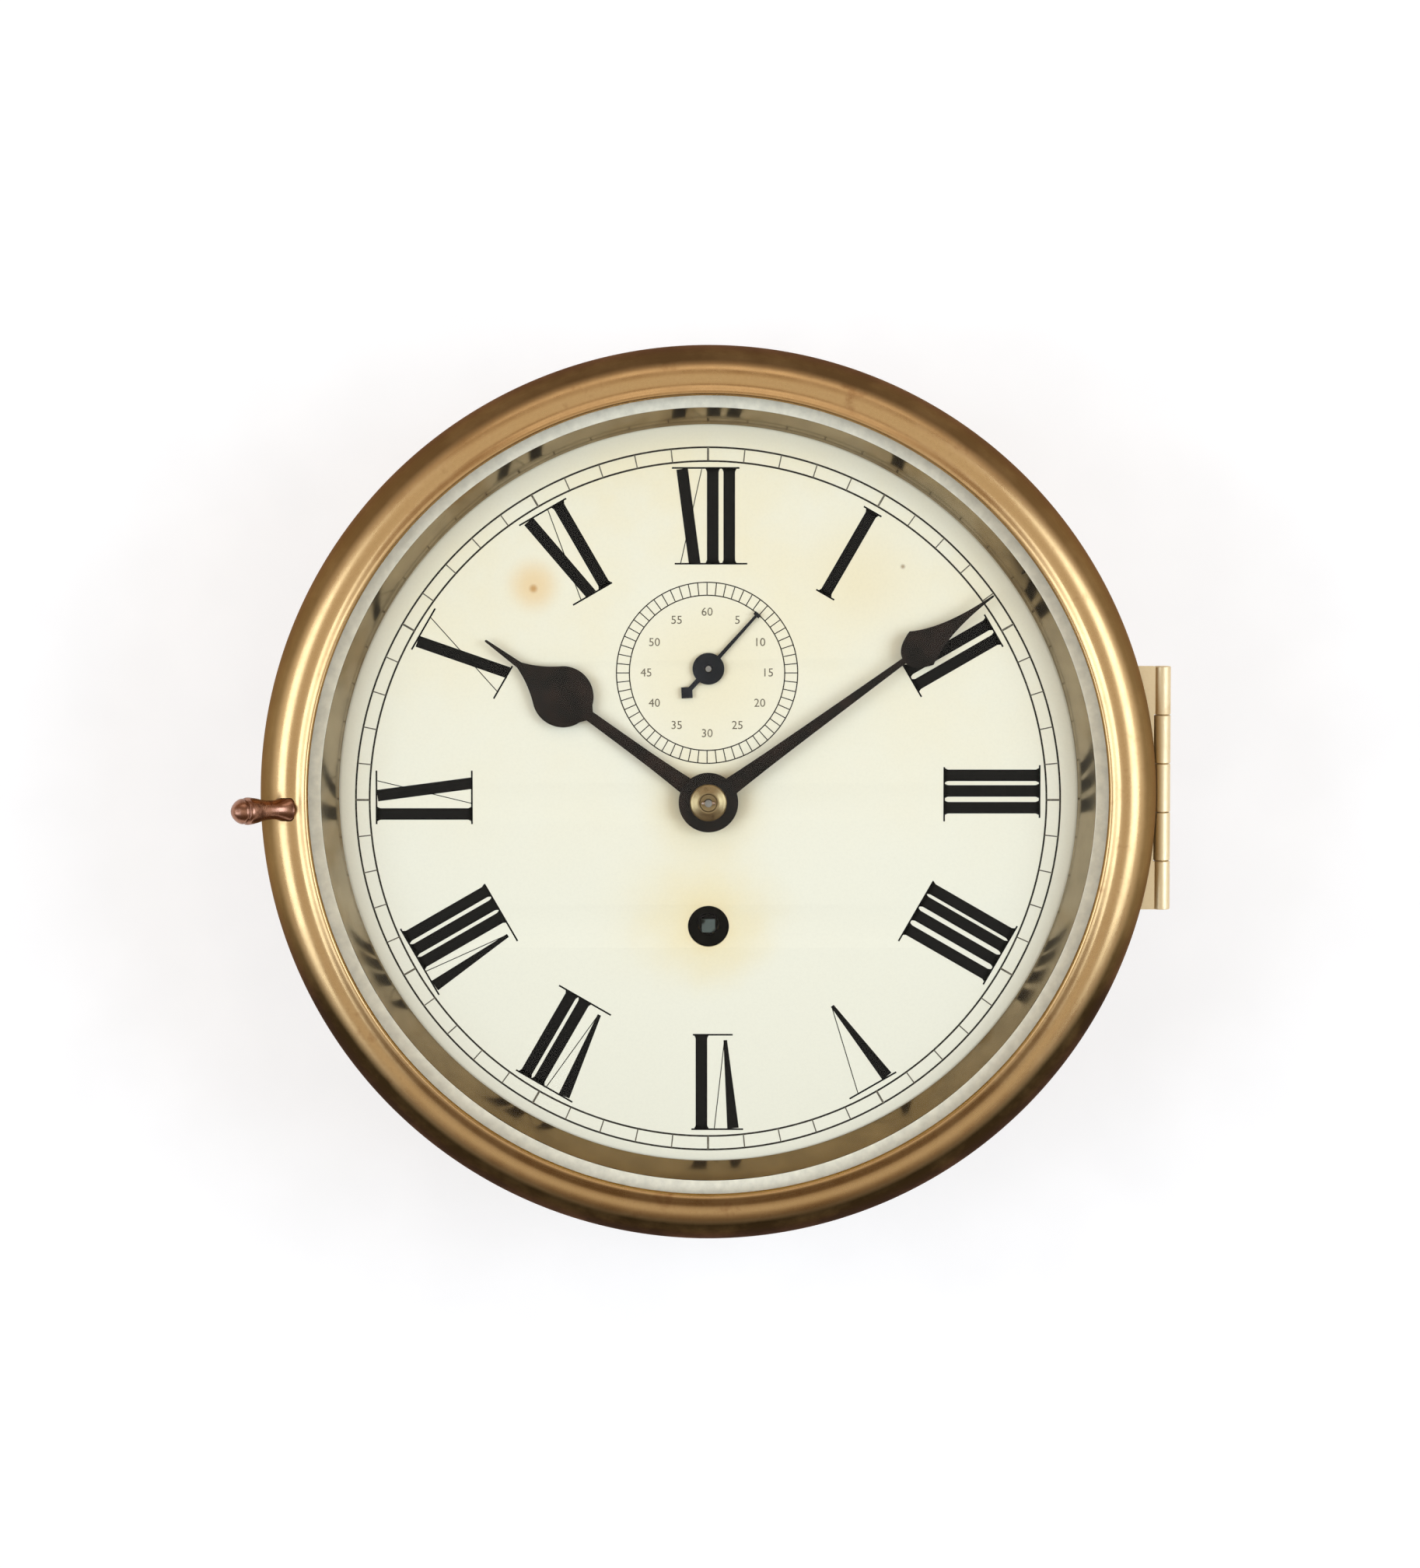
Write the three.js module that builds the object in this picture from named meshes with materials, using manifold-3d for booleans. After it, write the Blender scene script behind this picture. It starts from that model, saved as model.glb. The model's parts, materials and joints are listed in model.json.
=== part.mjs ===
// A brass bulkhead clock: drum case, hinged moulded bezel with its glass and reflector ring,
// painted dial with a seconds ring, spade hands and a going-barrel lever movement.
//
// The pieces are drawn in the clock's own frame: x to the right, y up to twelve o'clock and
// z out of the wall towards the reader, in millimetres, with the origin on the wall behind the
// centre of the case. The last lines turn that frame so that z points along -Y and y along +Z.
import * as THREE from "three";
import { mergeVertices } from "three/addons/utils/BufferGeometryUtils.js";
import Module from "manifold-3d";

const wasm = await Module();
wasm.setup();

const TURN = 2 * Math.PI;
const degrees = (value) => (value * Math.PI) / 180;

// Clearances
const seat = 0.3; // between two fixed pieces that bear on each other
const runningFit = 0.1; // round a shaft that turns
const fixedFit = 0.1; // round a shaft that is driven or soldered in

// Case
const bezelRadius = 114.3; // the bezel's outer edge, which the case and the dial follow
const caseDepth = 57; // from the wall to the front face of the case flange
const drumInset = 8.3; // drum inside the bezel's edge
const drumWall = 1.6;
const flangeInset = 2.3; // case flange inside the bezel's edge
const flangeThickness = 2.4;
const dialOpeningInset = 13.3;
const backThickness = 2;
const wallHoleRadius = 2.6;
const wallHoleInset = 16; // centres of the wall holes inside the drum
const wallHoleCount = 4;

// Bezel, in radius from the case axis and height in front of the bezel's back face
const bezelWidth = 12.7; // outer edge to sight edge
const bezelHeight = 12; // back face to sight edge
const bezelSide = 0.5; // upright part of the edge, under the roll
const rollWidth = 8.2; // from the edge in to the hollow between roll and bead
const beadRise = 1; // bead in front of the hollow
const rollSteps = 12;
// The bead's outline from the hollow to the sight edge, in shares of its width and rise
const beadShape = [
  [0.73, 0.12],
  [0.6, 0.33],
  [0.49, 0.58],
  [0.38, 0.84],
  [0.27, 0.97],
  [0.18, 1],
  [0.07, 0.77],
  [0, 0.1],
];
const lipThickness = 1.9;
const glassHold = 2.6; // glass under the sight edge
const glassThickness = 2.1;

// Reflector ring behind the glass
const reflectorFlangeWidth = 6.2; // from the glass's edge to the cone
const reflectorSlant = 3.8; // the cone's run in radius
const reflectorLip = 1.8; // upright part below the cone
const reflectorFlange = 1.1;
const reflectorWall = 0.8;
const reflectorGap = 0.7; // between its inner edge and the dial

// Bezel hinge at three o'clock
const hingeStandOff = 1.5; // pin outside the bezel's edge
const hingeRise = 1.5; // centre of the hinge above the case axis
const hingeLength = 62.2;
const knuckleCount = 5;
const knuckleRadius = 2.15;
const hingePinRadius = 1;
const leafThickness = 1;
const leafWidth = 10.6;
const knuckleGap = 0.15;

// Pull knob at nine o'clock, standing on the outer slope of the bezel
const knobTilt = 35; // degrees forward from the bezel's plane
const knobInset = 7.05; // centre of the knob's foot inside the bezel's edge
const knobDrop = 3.2;
const knobFootRadius = 3.55;
const knobNeckRadius = 2.45;
const knobBulbRadius = 3.6;
const knobLength = 16.6;
const knobSpigotRadius = 1.2;
const knobSpigotLength = 2.6;
const knobFootDepth = 2; // centre of the knob's foot behind the sight edge

// Dial
const dialGap = 2.6; // all round, inside the opening of the case flange
const dialSpace = 7.3; // from the front plate to the dial
const dialThickness = 1.2;
const dialStand = 1; // dial face in front of the case flange
const movementDrop = 2; // centre of the movement and dial below the case axis
const dialFootRadius = 1.5;
const windingHoleRadius = 5.25;
const centreHoleRadius = 4.4;
const secondsHoleRadius = 1.5;
const dialFootReach = 1.5; // past the back of the front plate

// Movement plates and pillars
const plateHalfWidth = 44;
const plateTop = 54;
const plateBottom = 62;
const plateThickness = 2.5;
const plateCorner = 6;
const platesApart = 24.5;
const pillarInset = 7;
const pillarRadius = 3.4;
const pillarShoulder = 1.6;
const pillarTenonRadius = 1.8;
const nutRadius = 3.2;
const nutHeight = 1.6;
const pillarNeckRadius = 2.4;
const postRadius = 4;
const postInset = 14;
const pivotRadius = 0.8;

// Train: teeth and modules, wheel first and then the pinion that it drives
const greatTeeth = 64;
const centreLeaves = 8;
const windingDistance = 32;
const centreTeeth = 48;
const thirdLeaves = 6;
const centreModule = 0.8;
const thirdTeeth = 45;
const fourthLeaves = 6;
const thirdModule = 0.78;
const secondsDistance = 34;
const fourthTeeth = 60;
const escapeLeaves = 6;
const fourthModule = 0.56;
const escapeBearing = 215; // degrees, from the fourth arbor to the escape arbor
const meshSlack = 0.08; // backlash, as extra distance between meshed arbors
const trainWheelThickness = 1.2;
const pinionLength = 3.4;
const arborRadius = 1.4;
const wheelHubRadius = 4;
const wheelRimWidth = 1.6;
const wheelArmWidth = 1.8;

// Motion work
const cannonTeeth = 14;
const minuteWheelTeeth = 42;
const minutePinionTeeth = 12;
const hourWheelTeeth = 48;
const motionDistance = 14;
const motionWheelThickness = 1.2;
const motionGap = 0.6;
const centreTipRadius = 0.95;
const cannonPipeRadius = 2.2;
const hourPipeRadius = 3.4;
const studHeadHeight = 0.8;

// Barrel
const barrelRadius = 26;
const barrelHeight = 17;
const barrelWall = 1.2;
const barrelHubRadius = 3.6;
const barrelPivotRadius = 2.6;
const barrelBaseThickness = 2.2;
const windingSquare = 3.4; // side of the square that takes the key
const windingSquareLength = 5;
const mainspringTurns = 5;
const mainspringStrip = 0.8;
const ratchetRadius = 11;
const ratchetTeeth = 18;
const ratchetThickness = 1.6;
const ratchetToothDepth = 1.4;
const clickBeyondRatchet = 2.85; // click's screw outside the circle of the tooth tips
const clickDrop = 6; // click's screw below the barrel arbor
const springScrewSide = 2.9; // from the click's screw to its spring's screw
const springScrewDrop = 6;
const clickSpringReach = 14;

// Escapement
const escapeTeeth = 15;
const escapeRadius = 7.5;
const escapeRoot = 5.7;
const leverBearing = 235; // degrees, from the escape arbor through the lever to the balance
const palletSpan = 36; // degrees each side of the line of centres
const leverToBalance = 13;
const leverThickness = 1.2;
const palletGap = 0.4; // pallet to tooth tips with the lever upright
const rollerRadius = 3.2;
const balanceRadius = 12;
const balanceRim = 1.8;
const balanceThickness = 1.6;
const balanceBehindPlate = 8;
const staffPivotLength = 2.2;
const staffShoulder = 1.5;
const cockThickness = 1.8;
const cockWidth = 6;
const cockFootWidth = 8;
const cockFootLength = 5;
const cockFootGap = 1.6; // foot clear of the balance
const springTurns = 4;
const springStrip = 0.35;
const springHeight = 0.9;
const springRise = 1.4; // from the balance to its spring
const springInsideRim = 4; // outer coil inside the balance's edge
const studRadius = 0.7;

// Hands
const handThickness = 0.7;
const minuteTipInset = 8.9; // tip of the minute hand inside the dial's edge
const minuteHeadLength = 28; // from the neck below the spade to the tip
const hourHandLength = 70.1;
const hourTipLength = 24.3; // from the middle of the lobe to the tip
const secondsHandLength = 19;
const secondsTailLength = 10.2;
const minuteHandAngle = 54; // degrees clockwise from twelve
const hourHandAngle = 306;
const secondsHandAngle = 42;
const colletRadius = 4.75;
const handGap = 0.6;
const handBossRadius = 7.6;
const secondsBossRadius = 4.05;
const colletHeight = 1.5;
const arborPastCollet = 1.6;
const handPinRise = 0.8; // centre of the pin in front of the collet
const handPinRadius = 0.4;
const handPinLength = 5;

// Radii that follow from the sizes above
const drumRadius = bezelRadius - drumInset;
const drumInner = drumRadius - drumWall;
const flangeRadius = bezelRadius - flangeInset;
const dialOpeningRadius = bezelRadius - dialOpeningInset;
const dialRadius = dialOpeningRadius - dialGap;
const wallHoleCircle = drumRadius - wallHoleInset;
const sightRadius = bezelRadius - bezelWidth;
const glassRadius = sightRadius + glassHold;
const bezelBoreRadius = glassRadius + seat;
const reflectorOuterRadius = glassRadius - reflectorFlangeWidth;
const reflectorInnerRadius = reflectorOuterRadius - reflectorSlant;
const hingePinX = bezelRadius + hingeStandOff;
const knobRadiusFromAxis = bezelRadius - knobInset;
const minuteHandLength = dialRadius - minuteTipInset;

// Heights that follow from the sizes above
const bezelBack = caseDepth + seat;
const sightHeight = bezelBack + bezelHeight;
const glassFront = sightHeight - lipThickness - seat / 3;
const glassBack = glassFront - glassThickness;
const reflectorFront = glassBack - seat / 3;
const dialFace = caseDepth + dialStand;
const dialBack = dialFace - dialThickness;
const frontPlateFront = dialBack - dialSpace;
const frontPlateBack = frontPlateFront - plateThickness;
const backPlateFront = frontPlateBack - platesApart;
const backPlateBack = backPlateFront - plateThickness;
const greatModule = (2 * (windingDistance - meshSlack)) / (greatTeeth + centreLeaves);
const secondsHandBack = dialFace + handGap;
const hourHandBack = secondsHandBack + handThickness + handGap / 2;
const minuteHandBack = hourHandBack + handThickness + handGap;
const colletBack = minuteHandBack + handThickness + fixedFit;
const colletFront = colletBack + colletHeight;

// Places of the arbors on the plates
const centreAt = [0, 0];
const barrelAt = [0, -windingDistance];
const fourthAt = [0, secondsDistance];
const thirdAt = thirdArborPlace();
const escapeAt = reached(fourthAt, pitch(fourthTeeth + escapeLeaves, fourthModule), escapeBearing);
const leverReach = (escapeRadius + palletGap) / Math.cos(degrees(palletSpan));
const leverAt = reached(escapeAt, leverReach, leverBearing);
const balanceAt = reached(leverAt, leverToBalance, leverBearing);
const minuteWheelAt = [-motionDistance, 0];
const cornerPlaces = [
  [plateHalfWidth - pillarInset, plateTop - pillarInset],
  [pillarInset - plateHalfWidth, plateTop - pillarInset],
  [pillarInset - plateHalfWidth, pillarInset - plateBottom],
  [plateHalfWidth - pillarInset, pillarInset - plateBottom],
];
const postPlaces = [
  [plateHalfWidth - postInset, plateTop - pillarInset],
  [postInset - plateHalfWidth, plateTop - pillarInset],
  [postInset - plateHalfWidth, pillarInset - plateBottom],
  [plateHalfWidth - postInset, pillarInset - plateBottom],
];
const dialFootPlaces = [
  [plateHalfWidth - pillarInset, secondsDistance / 2],
  [pillarInset - plateHalfWidth, secondsDistance / 2],
  [plateHalfWidth - pillarInset, -windingDistance],
  [pillarInset - plateHalfWidth, -windingDistance],
];

// Layers of the train between the plates, each the back of its wheel
const greatRise = 1.5;
const escapeRise = 3.6;
const thirdRise = 8.4;
const fourthRise = 14;
const centreOverBarrel = 1.4;
const greatLayer = backPlateFront + greatRise;
const escapeLayer = backPlateFront + escapeRise;
const thirdLayer = backPlateFront + thirdRise;
const fourthLayer = backPlateFront + fourthRise;
const centreLayer = greatLayer + barrelHeight + centreOverBarrel;
const cannonLayer = frontPlateFront + motionGap;
const hourLayer = cannonLayer + motionWheelThickness + motionGap;

// The distance between two arbors whose wheel and pinion have this many teeth together
function pitch(teethTogether, module) {
  return (teethTogether * module) / 2 + meshSlack;
}

// The place that lies a distance away from a centre along a bearing in degrees
function reached([x, y], distance, bearing) {
  return [x + distance * Math.cos(degrees(bearing)), y + distance * Math.sin(degrees(bearing))];
}

// The third arbor stands where its two mesh distances from the centre and fourth arbors meet
function thirdArborPlace() {
  const fromCentre = pitch(centreTeeth + thirdLeaves, centreModule);
  const fromFourth = pitch(thirdTeeth + fourthLeaves, thirdModule);
  const up = (fromCentre ** 2 - fromFourth ** 2 + secondsDistance ** 2) / (2 * secondsDistance);
  return [Math.sqrt(fromCentre ** 2 - up ** 2), up];
}

// A geometry as a closed solid, with its faces turned outwards
function solid(geometry) {
  const bare = geometry.index ? geometry.toNonIndexed() : geometry.clone();
  bare.deleteAttribute("normal");
  bare.deleteAttribute("uv");
  const merged = mergeVertices(bare, 1e-4);
  const triVerts = new Uint32Array(merged.index.array);
  const vertProperties = new Float32Array(merged.attributes.position.array);
  const made = new wasm.Manifold(new wasm.Mesh({ numProp: 3, vertProperties, triVerts }));
  if (made.volume() > 0) return made;
  for (let i = 0; i < triVerts.length; i += 3) {
    [triVerts[i + 1], triVerts[i + 2]] = [triVerts[i + 2], triVerts[i + 1]];
  }
  return new wasm.Manifold(new wasm.Mesh({ numProp: 3, vertProperties, triVerts }));
}

// A solid back as a geometry with flat-shaded faces
function geometryOf(made) {
  const mesh = made.getMesh();
  const positions = new Float32Array(mesh.numVert * 3);
  for (let i = 0; i < mesh.numVert; i++) {
    const first = i * mesh.numProp;
    positions.set(mesh.vertProperties.subarray(first, first + 3), i * 3);
  }
  const geometry = new THREE.BufferGeometry();
  geometry.setAttribute("position", new THREE.BufferAttribute(positions, 3));
  geometry.setIndex(new THREE.BufferAttribute(new Uint32Array(mesh.triVerts), 1));
  const flat = geometry.toNonIndexed();
  flat.computeVertexNormals();
  return flat;
}

// A body turned about z from a closed profile of [radius, height] points
function turned(profile, segments = 24, [x, y] = centreAt) {
  const points = [...profile, profile[0]].map(([radius, height]) => new THREE.Vector2(radius, height));
  const lathe = new THREE.LatheGeometry(points, segments);
  return solid(lathe.rotateX(Math.PI / 2).translate(x, y, 0));
}

// A round bar along z
function rod(radius, low, high, at = centreAt, segments = 12) {
  const bar = new THREE.CylinderGeometry(radius, radius, high - low, segments);
  return solid(bar.rotateX(Math.PI / 2).translate(at[0], at[1], (low + high) / 2));
}

// A round hole along z whose flats stay clear of a shaft of the given radius
function bore(radius, low, high, at = centreAt, segments = 12) {
  return rod(radius / Math.cos(Math.PI / segments), low, high, at, segments);
}

// A block between two corners
function block([x0, y0, z0], [x1, y1, z1]) {
  const box = new THREE.BoxGeometry(x1 - x0, y1 - y0, z1 - z0);
  return solid(box.translate((x0 + x1) / 2, (y0 + y1) / 2, (z0 + z1) / 2));
}

// A flat shape raised along z from a height
function raised(shape, low, thickness, curveSegments = 8) {
  const options = { depth: thickness, bevelEnabled: false, curveSegments };
  return solid(new THREE.ExtrudeGeometry(shape, options).translate(0, 0, low));
}

// A shape through a list of points
function outline(points) {
  return new THREE.Shape(points.map(([x, y]) => new THREE.Vector2(x, y)));
}

const WHEEL_TOOTH = { addendum: 0.75, dedendum: 1.15, tip: 0, root: 1 };
const PINION_LEAF = { addendum: 0.5, dedendum: 1.15, tip: 0.14, root: 0.3 };

// The outline of a toothed wheel. A tooth stands at the phase angle, and its widths are
// shares of the pitch: a wheel's fine teeth are plain points that meet at their roots.
function toothedOutline(teeth, module, phase, tooth) {
  const pitchRadius = (teeth * module) / 2;
  const tipRadius = pitchRadius + tooth.addendum * module;
  const rootRadius = pitchRadius - tooth.dedendum * module;
  const step = TURN / teeth;
  const points = [];
  for (let i = 0; i < teeth; i++) {
    const centre = phase + i * step;
    points.push(polar(rootRadius, centre - (tooth.root * step) / 2));
    points.push(polar(tipRadius, centre - (tooth.tip * step) / 2));
    if (tooth.tip > 0) points.push(polar(tipRadius, centre + (tooth.tip * step) / 2));
    if (tooth.root < 1) points.push(polar(rootRadius, centre + (tooth.root * step) / 2));
  }
  return outline(points);
}

function polar(radius, angle) {
  return [radius * Math.cos(angle), radius * Math.sin(angle)];
}

// The windows between a wheel's crossings, added to its outline as holes
function crossedOut(shape, { hub, rim, arms, armWidth }) {
  for (let i = 0; i < arms; i++) {
    const from = (i * TURN) / arms;
    const to = from + TURN / arms;
    const outer = armWidth / 2 / rim;
    const inner = armWidth / 2 / hub;
    const steps = 3;
    const points = [];
    for (let k = 0; k <= steps; k++) {
      points.push(polar(rim, from + outer + ((to - from - 2 * outer) * k) / steps));
    }
    for (let k = steps; k >= 0; k--) {
      points.push(polar(hub, from + inner + ((to - from - 2 * inner) * k) / steps));
    }
    shape.holes.push(new THREE.Path(points.map(([x, y]) => new THREE.Vector2(x, y))));
  }
  return shape;
}

// The phase of a driven wheel so that its gap faces the driver's tooth on the line of centres
function meshedPhase(driverTeeth, driverPhase, driverAt, drivenTeeth, drivenAt) {
  const bearing = Math.atan2(drivenAt[1] - driverAt[1], drivenAt[0] - driverAt[0]);
  const offset = ((bearing - driverPhase) * driverTeeth) / TURN;
  return bearing + Math.PI + ((offset - 0.5) * TURN) / drivenTeeth;
}

const materials = {
  polishedBrass: { color: 0xc79b6a, roughness: 0.22, metalness: 1 },
  plateBrass: { color: 0xb8935a, roughness: 0.35, metalness: 1 },
  reflectorBrass: { color: 0xb9a67e, roughness: 0.12, metalness: 1 },
  coppery: { color: 0x6b4632, roughness: 0.3, metalness: 1 },
  cream: { color: 0xf0e8cf, roughness: 0.5, metalness: 0 },
  blackSteel: { color: 0x14161a, roughness: 0.3, metalness: 0.8 },
  steel: { color: 0x8d9094, roughness: 0.3, metalness: 1 },
  glass: { color: 0xf4f8f6, roughness: 0.03, metalness: 0, transparent: true, opacity: 0.25 },
};
for (const [name, values] of Object.entries(materials)) {
  materials[name] = new THREE.MeshStandardMaterial(values);
}

const clock = new THREE.Group();
const movement = new THREE.Group();
movement.position.y = -movementDrop;
clock.add(movement);

function piece(parent, name, material, made) {
  const mesh = new THREE.Mesh(geometryOf(made), materials[material]);
  mesh.name = name;
  parent.add(mesh);
}

buildCase();
buildHinge();
buildBezel();
buildDial();
buildPlates();
buildBarrel();
buildTrain();
buildEscapement();
buildMotionWork();
buildHands();

function buildCase() {
  const flangeBack = caseDepth - flangeThickness;
  const drum = turned(
    [
      [drumRadius, 0],
      [drumRadius, flangeBack],
      [flangeRadius, flangeBack],
      [flangeRadius, caseDepth],
      [dialOpeningRadius, caseDepth],
      [dialOpeningRadius, flangeBack],
      [drumInner, flangeBack],
      [drumInner, 0],
    ],
    72,
  ).subtract(leafBlock(caseDepth - leafThickness - seat, caseDepth + seat, seat));
  piece(clock, "case_drum", "polishedBrass", drum);

  let back = rod(drumInner - seat, 0, backThickness, centreAt, 72);
  for (let i = 0; i < wallHoleCount; i++) {
    const place = polar(wallHoleCircle, TURN * ((i + 0.5) / wallHoleCount));
    back = back.subtract(bore(wallHoleRadius, -1, backThickness + 1, place));
  }
  piece(clock, "case_back", "plateBrass", back);

  postPlaces.forEach((place, i) => {
    const post = rod(postRadius, backThickness + seat / 3, backPlateBack - seat / 3, place, 12);
    piece(movement, "movement_post_" + (i + 1), "plateBrass", post);
  });
}

// The flat part of a hinge leaf between two heights, grown all round by a margin
function leafBlock(low, high, margin = 0) {
  return block(
    [hingePinX - knuckleRadius - leafWidth - margin, hingeRise - hingeLength / 2 - margin, low],
    [hingePinX, hingeRise + hingeLength / 2 + margin, high],
  );
}

// A bar along the hinge's axis, from one height up the hinge to another
function hingeBar(radius, from, to, segments = 16) {
  const bar = new THREE.CylinderGeometry(radius, radius, to - from, segments);
  return solid(bar.translate(hingePinX, hingeRise - hingeLength / 2 + (from + to) / 2, hingeHeight()));
}

function hingeHeight() {
  return caseDepth + seat / 2;
}

function buildHinge() {
  const knuckle = hingeLength / knuckleCount;
  const bezelLeafFront = bezelBack + leafThickness;
  const leaves = [
    { name: "hinge_leaf_bezel", plate: leafBlock(bezelBack, bezelLeafFront), odd: 0 },
    { name: "hinge_leaf_case", plate: leafBlock(caseDepth - leafThickness, caseDepth), odd: 1 },
  ];
  for (const { name, plate, odd } of leaves) {
    let leaf = plate;
    for (let i = 0; i < knuckleCount; i++) {
      const from = i * knuckle + (i > 0 ? knuckleGap / 2 : 0);
      const to = (i + 1) * knuckle - (i < knuckleCount - 1 ? knuckleGap / 2 : 0);
      if (i % 2 === odd) leaf = leaf.add(hingeBar(knuckleRadius, from, to));
      else leaf = leaf.subtract(hingeBar(knuckleRadius + seat, from - knuckleGap, to + knuckleGap));
    }
    leaf = leaf.subtract(hingeBar(hingePinRadius + runningFit, -1, hingeLength + 1));
    piece(clock, name, "polishedBrass", leaf);
  }
  piece(clock, "hinge_pin", "polishedBrass", hingeBar(hingePinRadius, 0.2, hingeLength - 0.2, 12));
}

function buildBezel() {
  // From the back of the edge over the roll, a quarter of an ellipse, to the bead and down the bore
  const hollowRadius = bezelRadius - rollWidth;
  const rollHeight = sightHeight - bezelBack - bezelSide;
  const roll = [];
  for (let step = 0; step <= rollSteps; step++) {
    const turn = (Math.PI / 2) * (step / rollSteps);
    roll.push([
      hollowRadius + rollWidth * Math.cos(turn),
      sightHeight - rollHeight * (1 - Math.sin(turn)),
    ]);
  }
  const beadWidth = hollowRadius - sightRadius;
  const bead = beadShape.map(([across, rise]) => [
    sightRadius + beadWidth * across,
    sightHeight + beadRise * rise,
  ]);
  const profile = [
    [bezelRadius, bezelBack],
    ...roll,
    ...bead,
    [sightRadius, sightHeight - lipThickness],
    [bezelBoreRadius, sightHeight - lipThickness],
    [bezelBoreRadius, bezelBack],
  ];
  const { spigot, body } = knobParts();
  const ring = turned(profile, 72)
    .subtract(leafBlock(bezelBack - seat, bezelBack + leafThickness + seat, seat))
    .subtract(hingeBar(knuckleRadius + seat, -seat, hingeLength + seat))
    .subtract(spigot(fixedFit, seat))
    .subtract(body(seat / 2));
  piece(clock, "bezel", "polishedBrass", ring);
  piece(clock, "bezel_knob", "coppery", body(0).add(spigot(0, 0)));

  piece(clock, "glass", "glass", rod(glassRadius, glassBack, glassFront, centreAt, 72));

  const innerBack = dialFace + reflectorGap;
  const reflector = turned(
    [
      [reflectorInnerRadius, innerBack],
      [reflectorInnerRadius, innerBack + reflectorLip],
      [reflectorOuterRadius, reflectorFront],
      [glassRadius, reflectorFront],
      [glassRadius, reflectorFront - reflectorFlange],
      [reflectorOuterRadius + reflectorWall / 2, reflectorFront - reflectorFlange],
      [reflectorInnerRadius + reflectorWall, innerBack],
    ],
    72,
  );
  piece(clock, "reflector_ring", "reflectorBrass", reflector);
}

// The knob's turned body and its spigot, each grown by a margin where the bezel is cut for it
function knobParts() {
  const tilt = degrees(knobTilt);
  const footPlace = new THREE.Vector3(-knobRadiusFromAxis, -knobDrop, sightHeight - knobFootDepth);
  const along = new THREE.Vector3(-Math.cos(tilt), 0, Math.sin(tilt));
  const turn = new THREE.Quaternion().setFromUnitVectors(new THREE.Vector3(0, 1, 0), along);
  const placed = (profile, segments) => {
    const points = profile.map(([radius, height]) => new THREE.Vector2(radius, height));
    const lathe = new THREE.LatheGeometry(points, segments).applyQuaternion(turn);
    return solid(lathe.translate(footPlace.x, footPlace.y, footPlace.z));
  };
  const body = (margin) =>
    placed(
      [
        [0, -margin],
        [knobFootRadius + margin, -margin],
        [knobFootRadius + margin, 0.8],
        [knobNeckRadius + 0.5 + margin, 2.2],
        [knobNeckRadius + margin, 4],
        [knobNeckRadius + 0.15 + margin, 7],
        [knobBulbRadius - 0.5 + margin, 9],
        [knobBulbRadius + margin, 11],
        [knobBulbRadius - 0.15 + margin, 12.7],
        [knobBulbRadius - 0.4 + margin, 13.1],
        [knobBulbRadius - 0.2 + margin, 14],
        [knobBulbRadius - 1.5 + margin, knobLength - 0.8],
        [0, knobLength + margin],
      ],
      20,
    );
  const spigot = (margin, deeper) =>
    placed(
      [
        [0, -knobSpigotLength - deeper],
        [knobSpigotRadius + margin, -knobSpigotLength - deeper],
        [knobSpigotRadius + margin, seat],
        [0, seat],
      ],
      12,
    );
  return { body, spigot };
}

function buildDial() {
  let dial = rod(dialRadius, dialBack, dialFace, centreAt, 72);
  const footTop = dialBack + dialThickness / 2;
  for (const place of dialFootPlaces) {
    dial = dial.add(rod(dialFootRadius, frontPlateBack - dialFootReach, footTop, place, 8));
  }
  dial = dial
    .subtract(bore(centreHoleRadius, dialBack - 1, dialFace + 1, centreAt, 24))
    .subtract(bore(secondsHoleRadius, dialBack - 1, dialFace + 1, fourthAt, 12))
    .subtract(bore(windingHoleRadius, dialBack - 1, dialFace + 1, barrelAt, 28));
  piece(movement, "dial", "cream", dial);
}

// A movement plate with rounded corners and its pivot, pillar and post holes
function plate(low, high, holes) {
  const shape = new THREE.Shape();
  const left = -plateHalfWidth;
  const right = plateHalfWidth;
  shape.moveTo(left + plateCorner, -plateBottom);
  shape.lineTo(right - plateCorner, -plateBottom);
  shape.quadraticCurveTo(right, -plateBottom, right, plateCorner - plateBottom);
  shape.lineTo(right, plateTop - plateCorner);
  shape.quadraticCurveTo(right, plateTop, right - plateCorner, plateTop);
  shape.lineTo(left + plateCorner, plateTop);
  shape.quadraticCurveTo(left, plateTop, left, plateTop - plateCorner);
  shape.lineTo(left, plateCorner - plateBottom);
  shape.quadraticCurveTo(left, -plateBottom, left + plateCorner, -plateBottom);
  let made = raised(shape, low, high - low, 5);
  for (const { radius, at } of holes) {
    made = made.subtract(bore(radius, low - 1, high + 1, at, 8));
  }
  return made;
}

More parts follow.
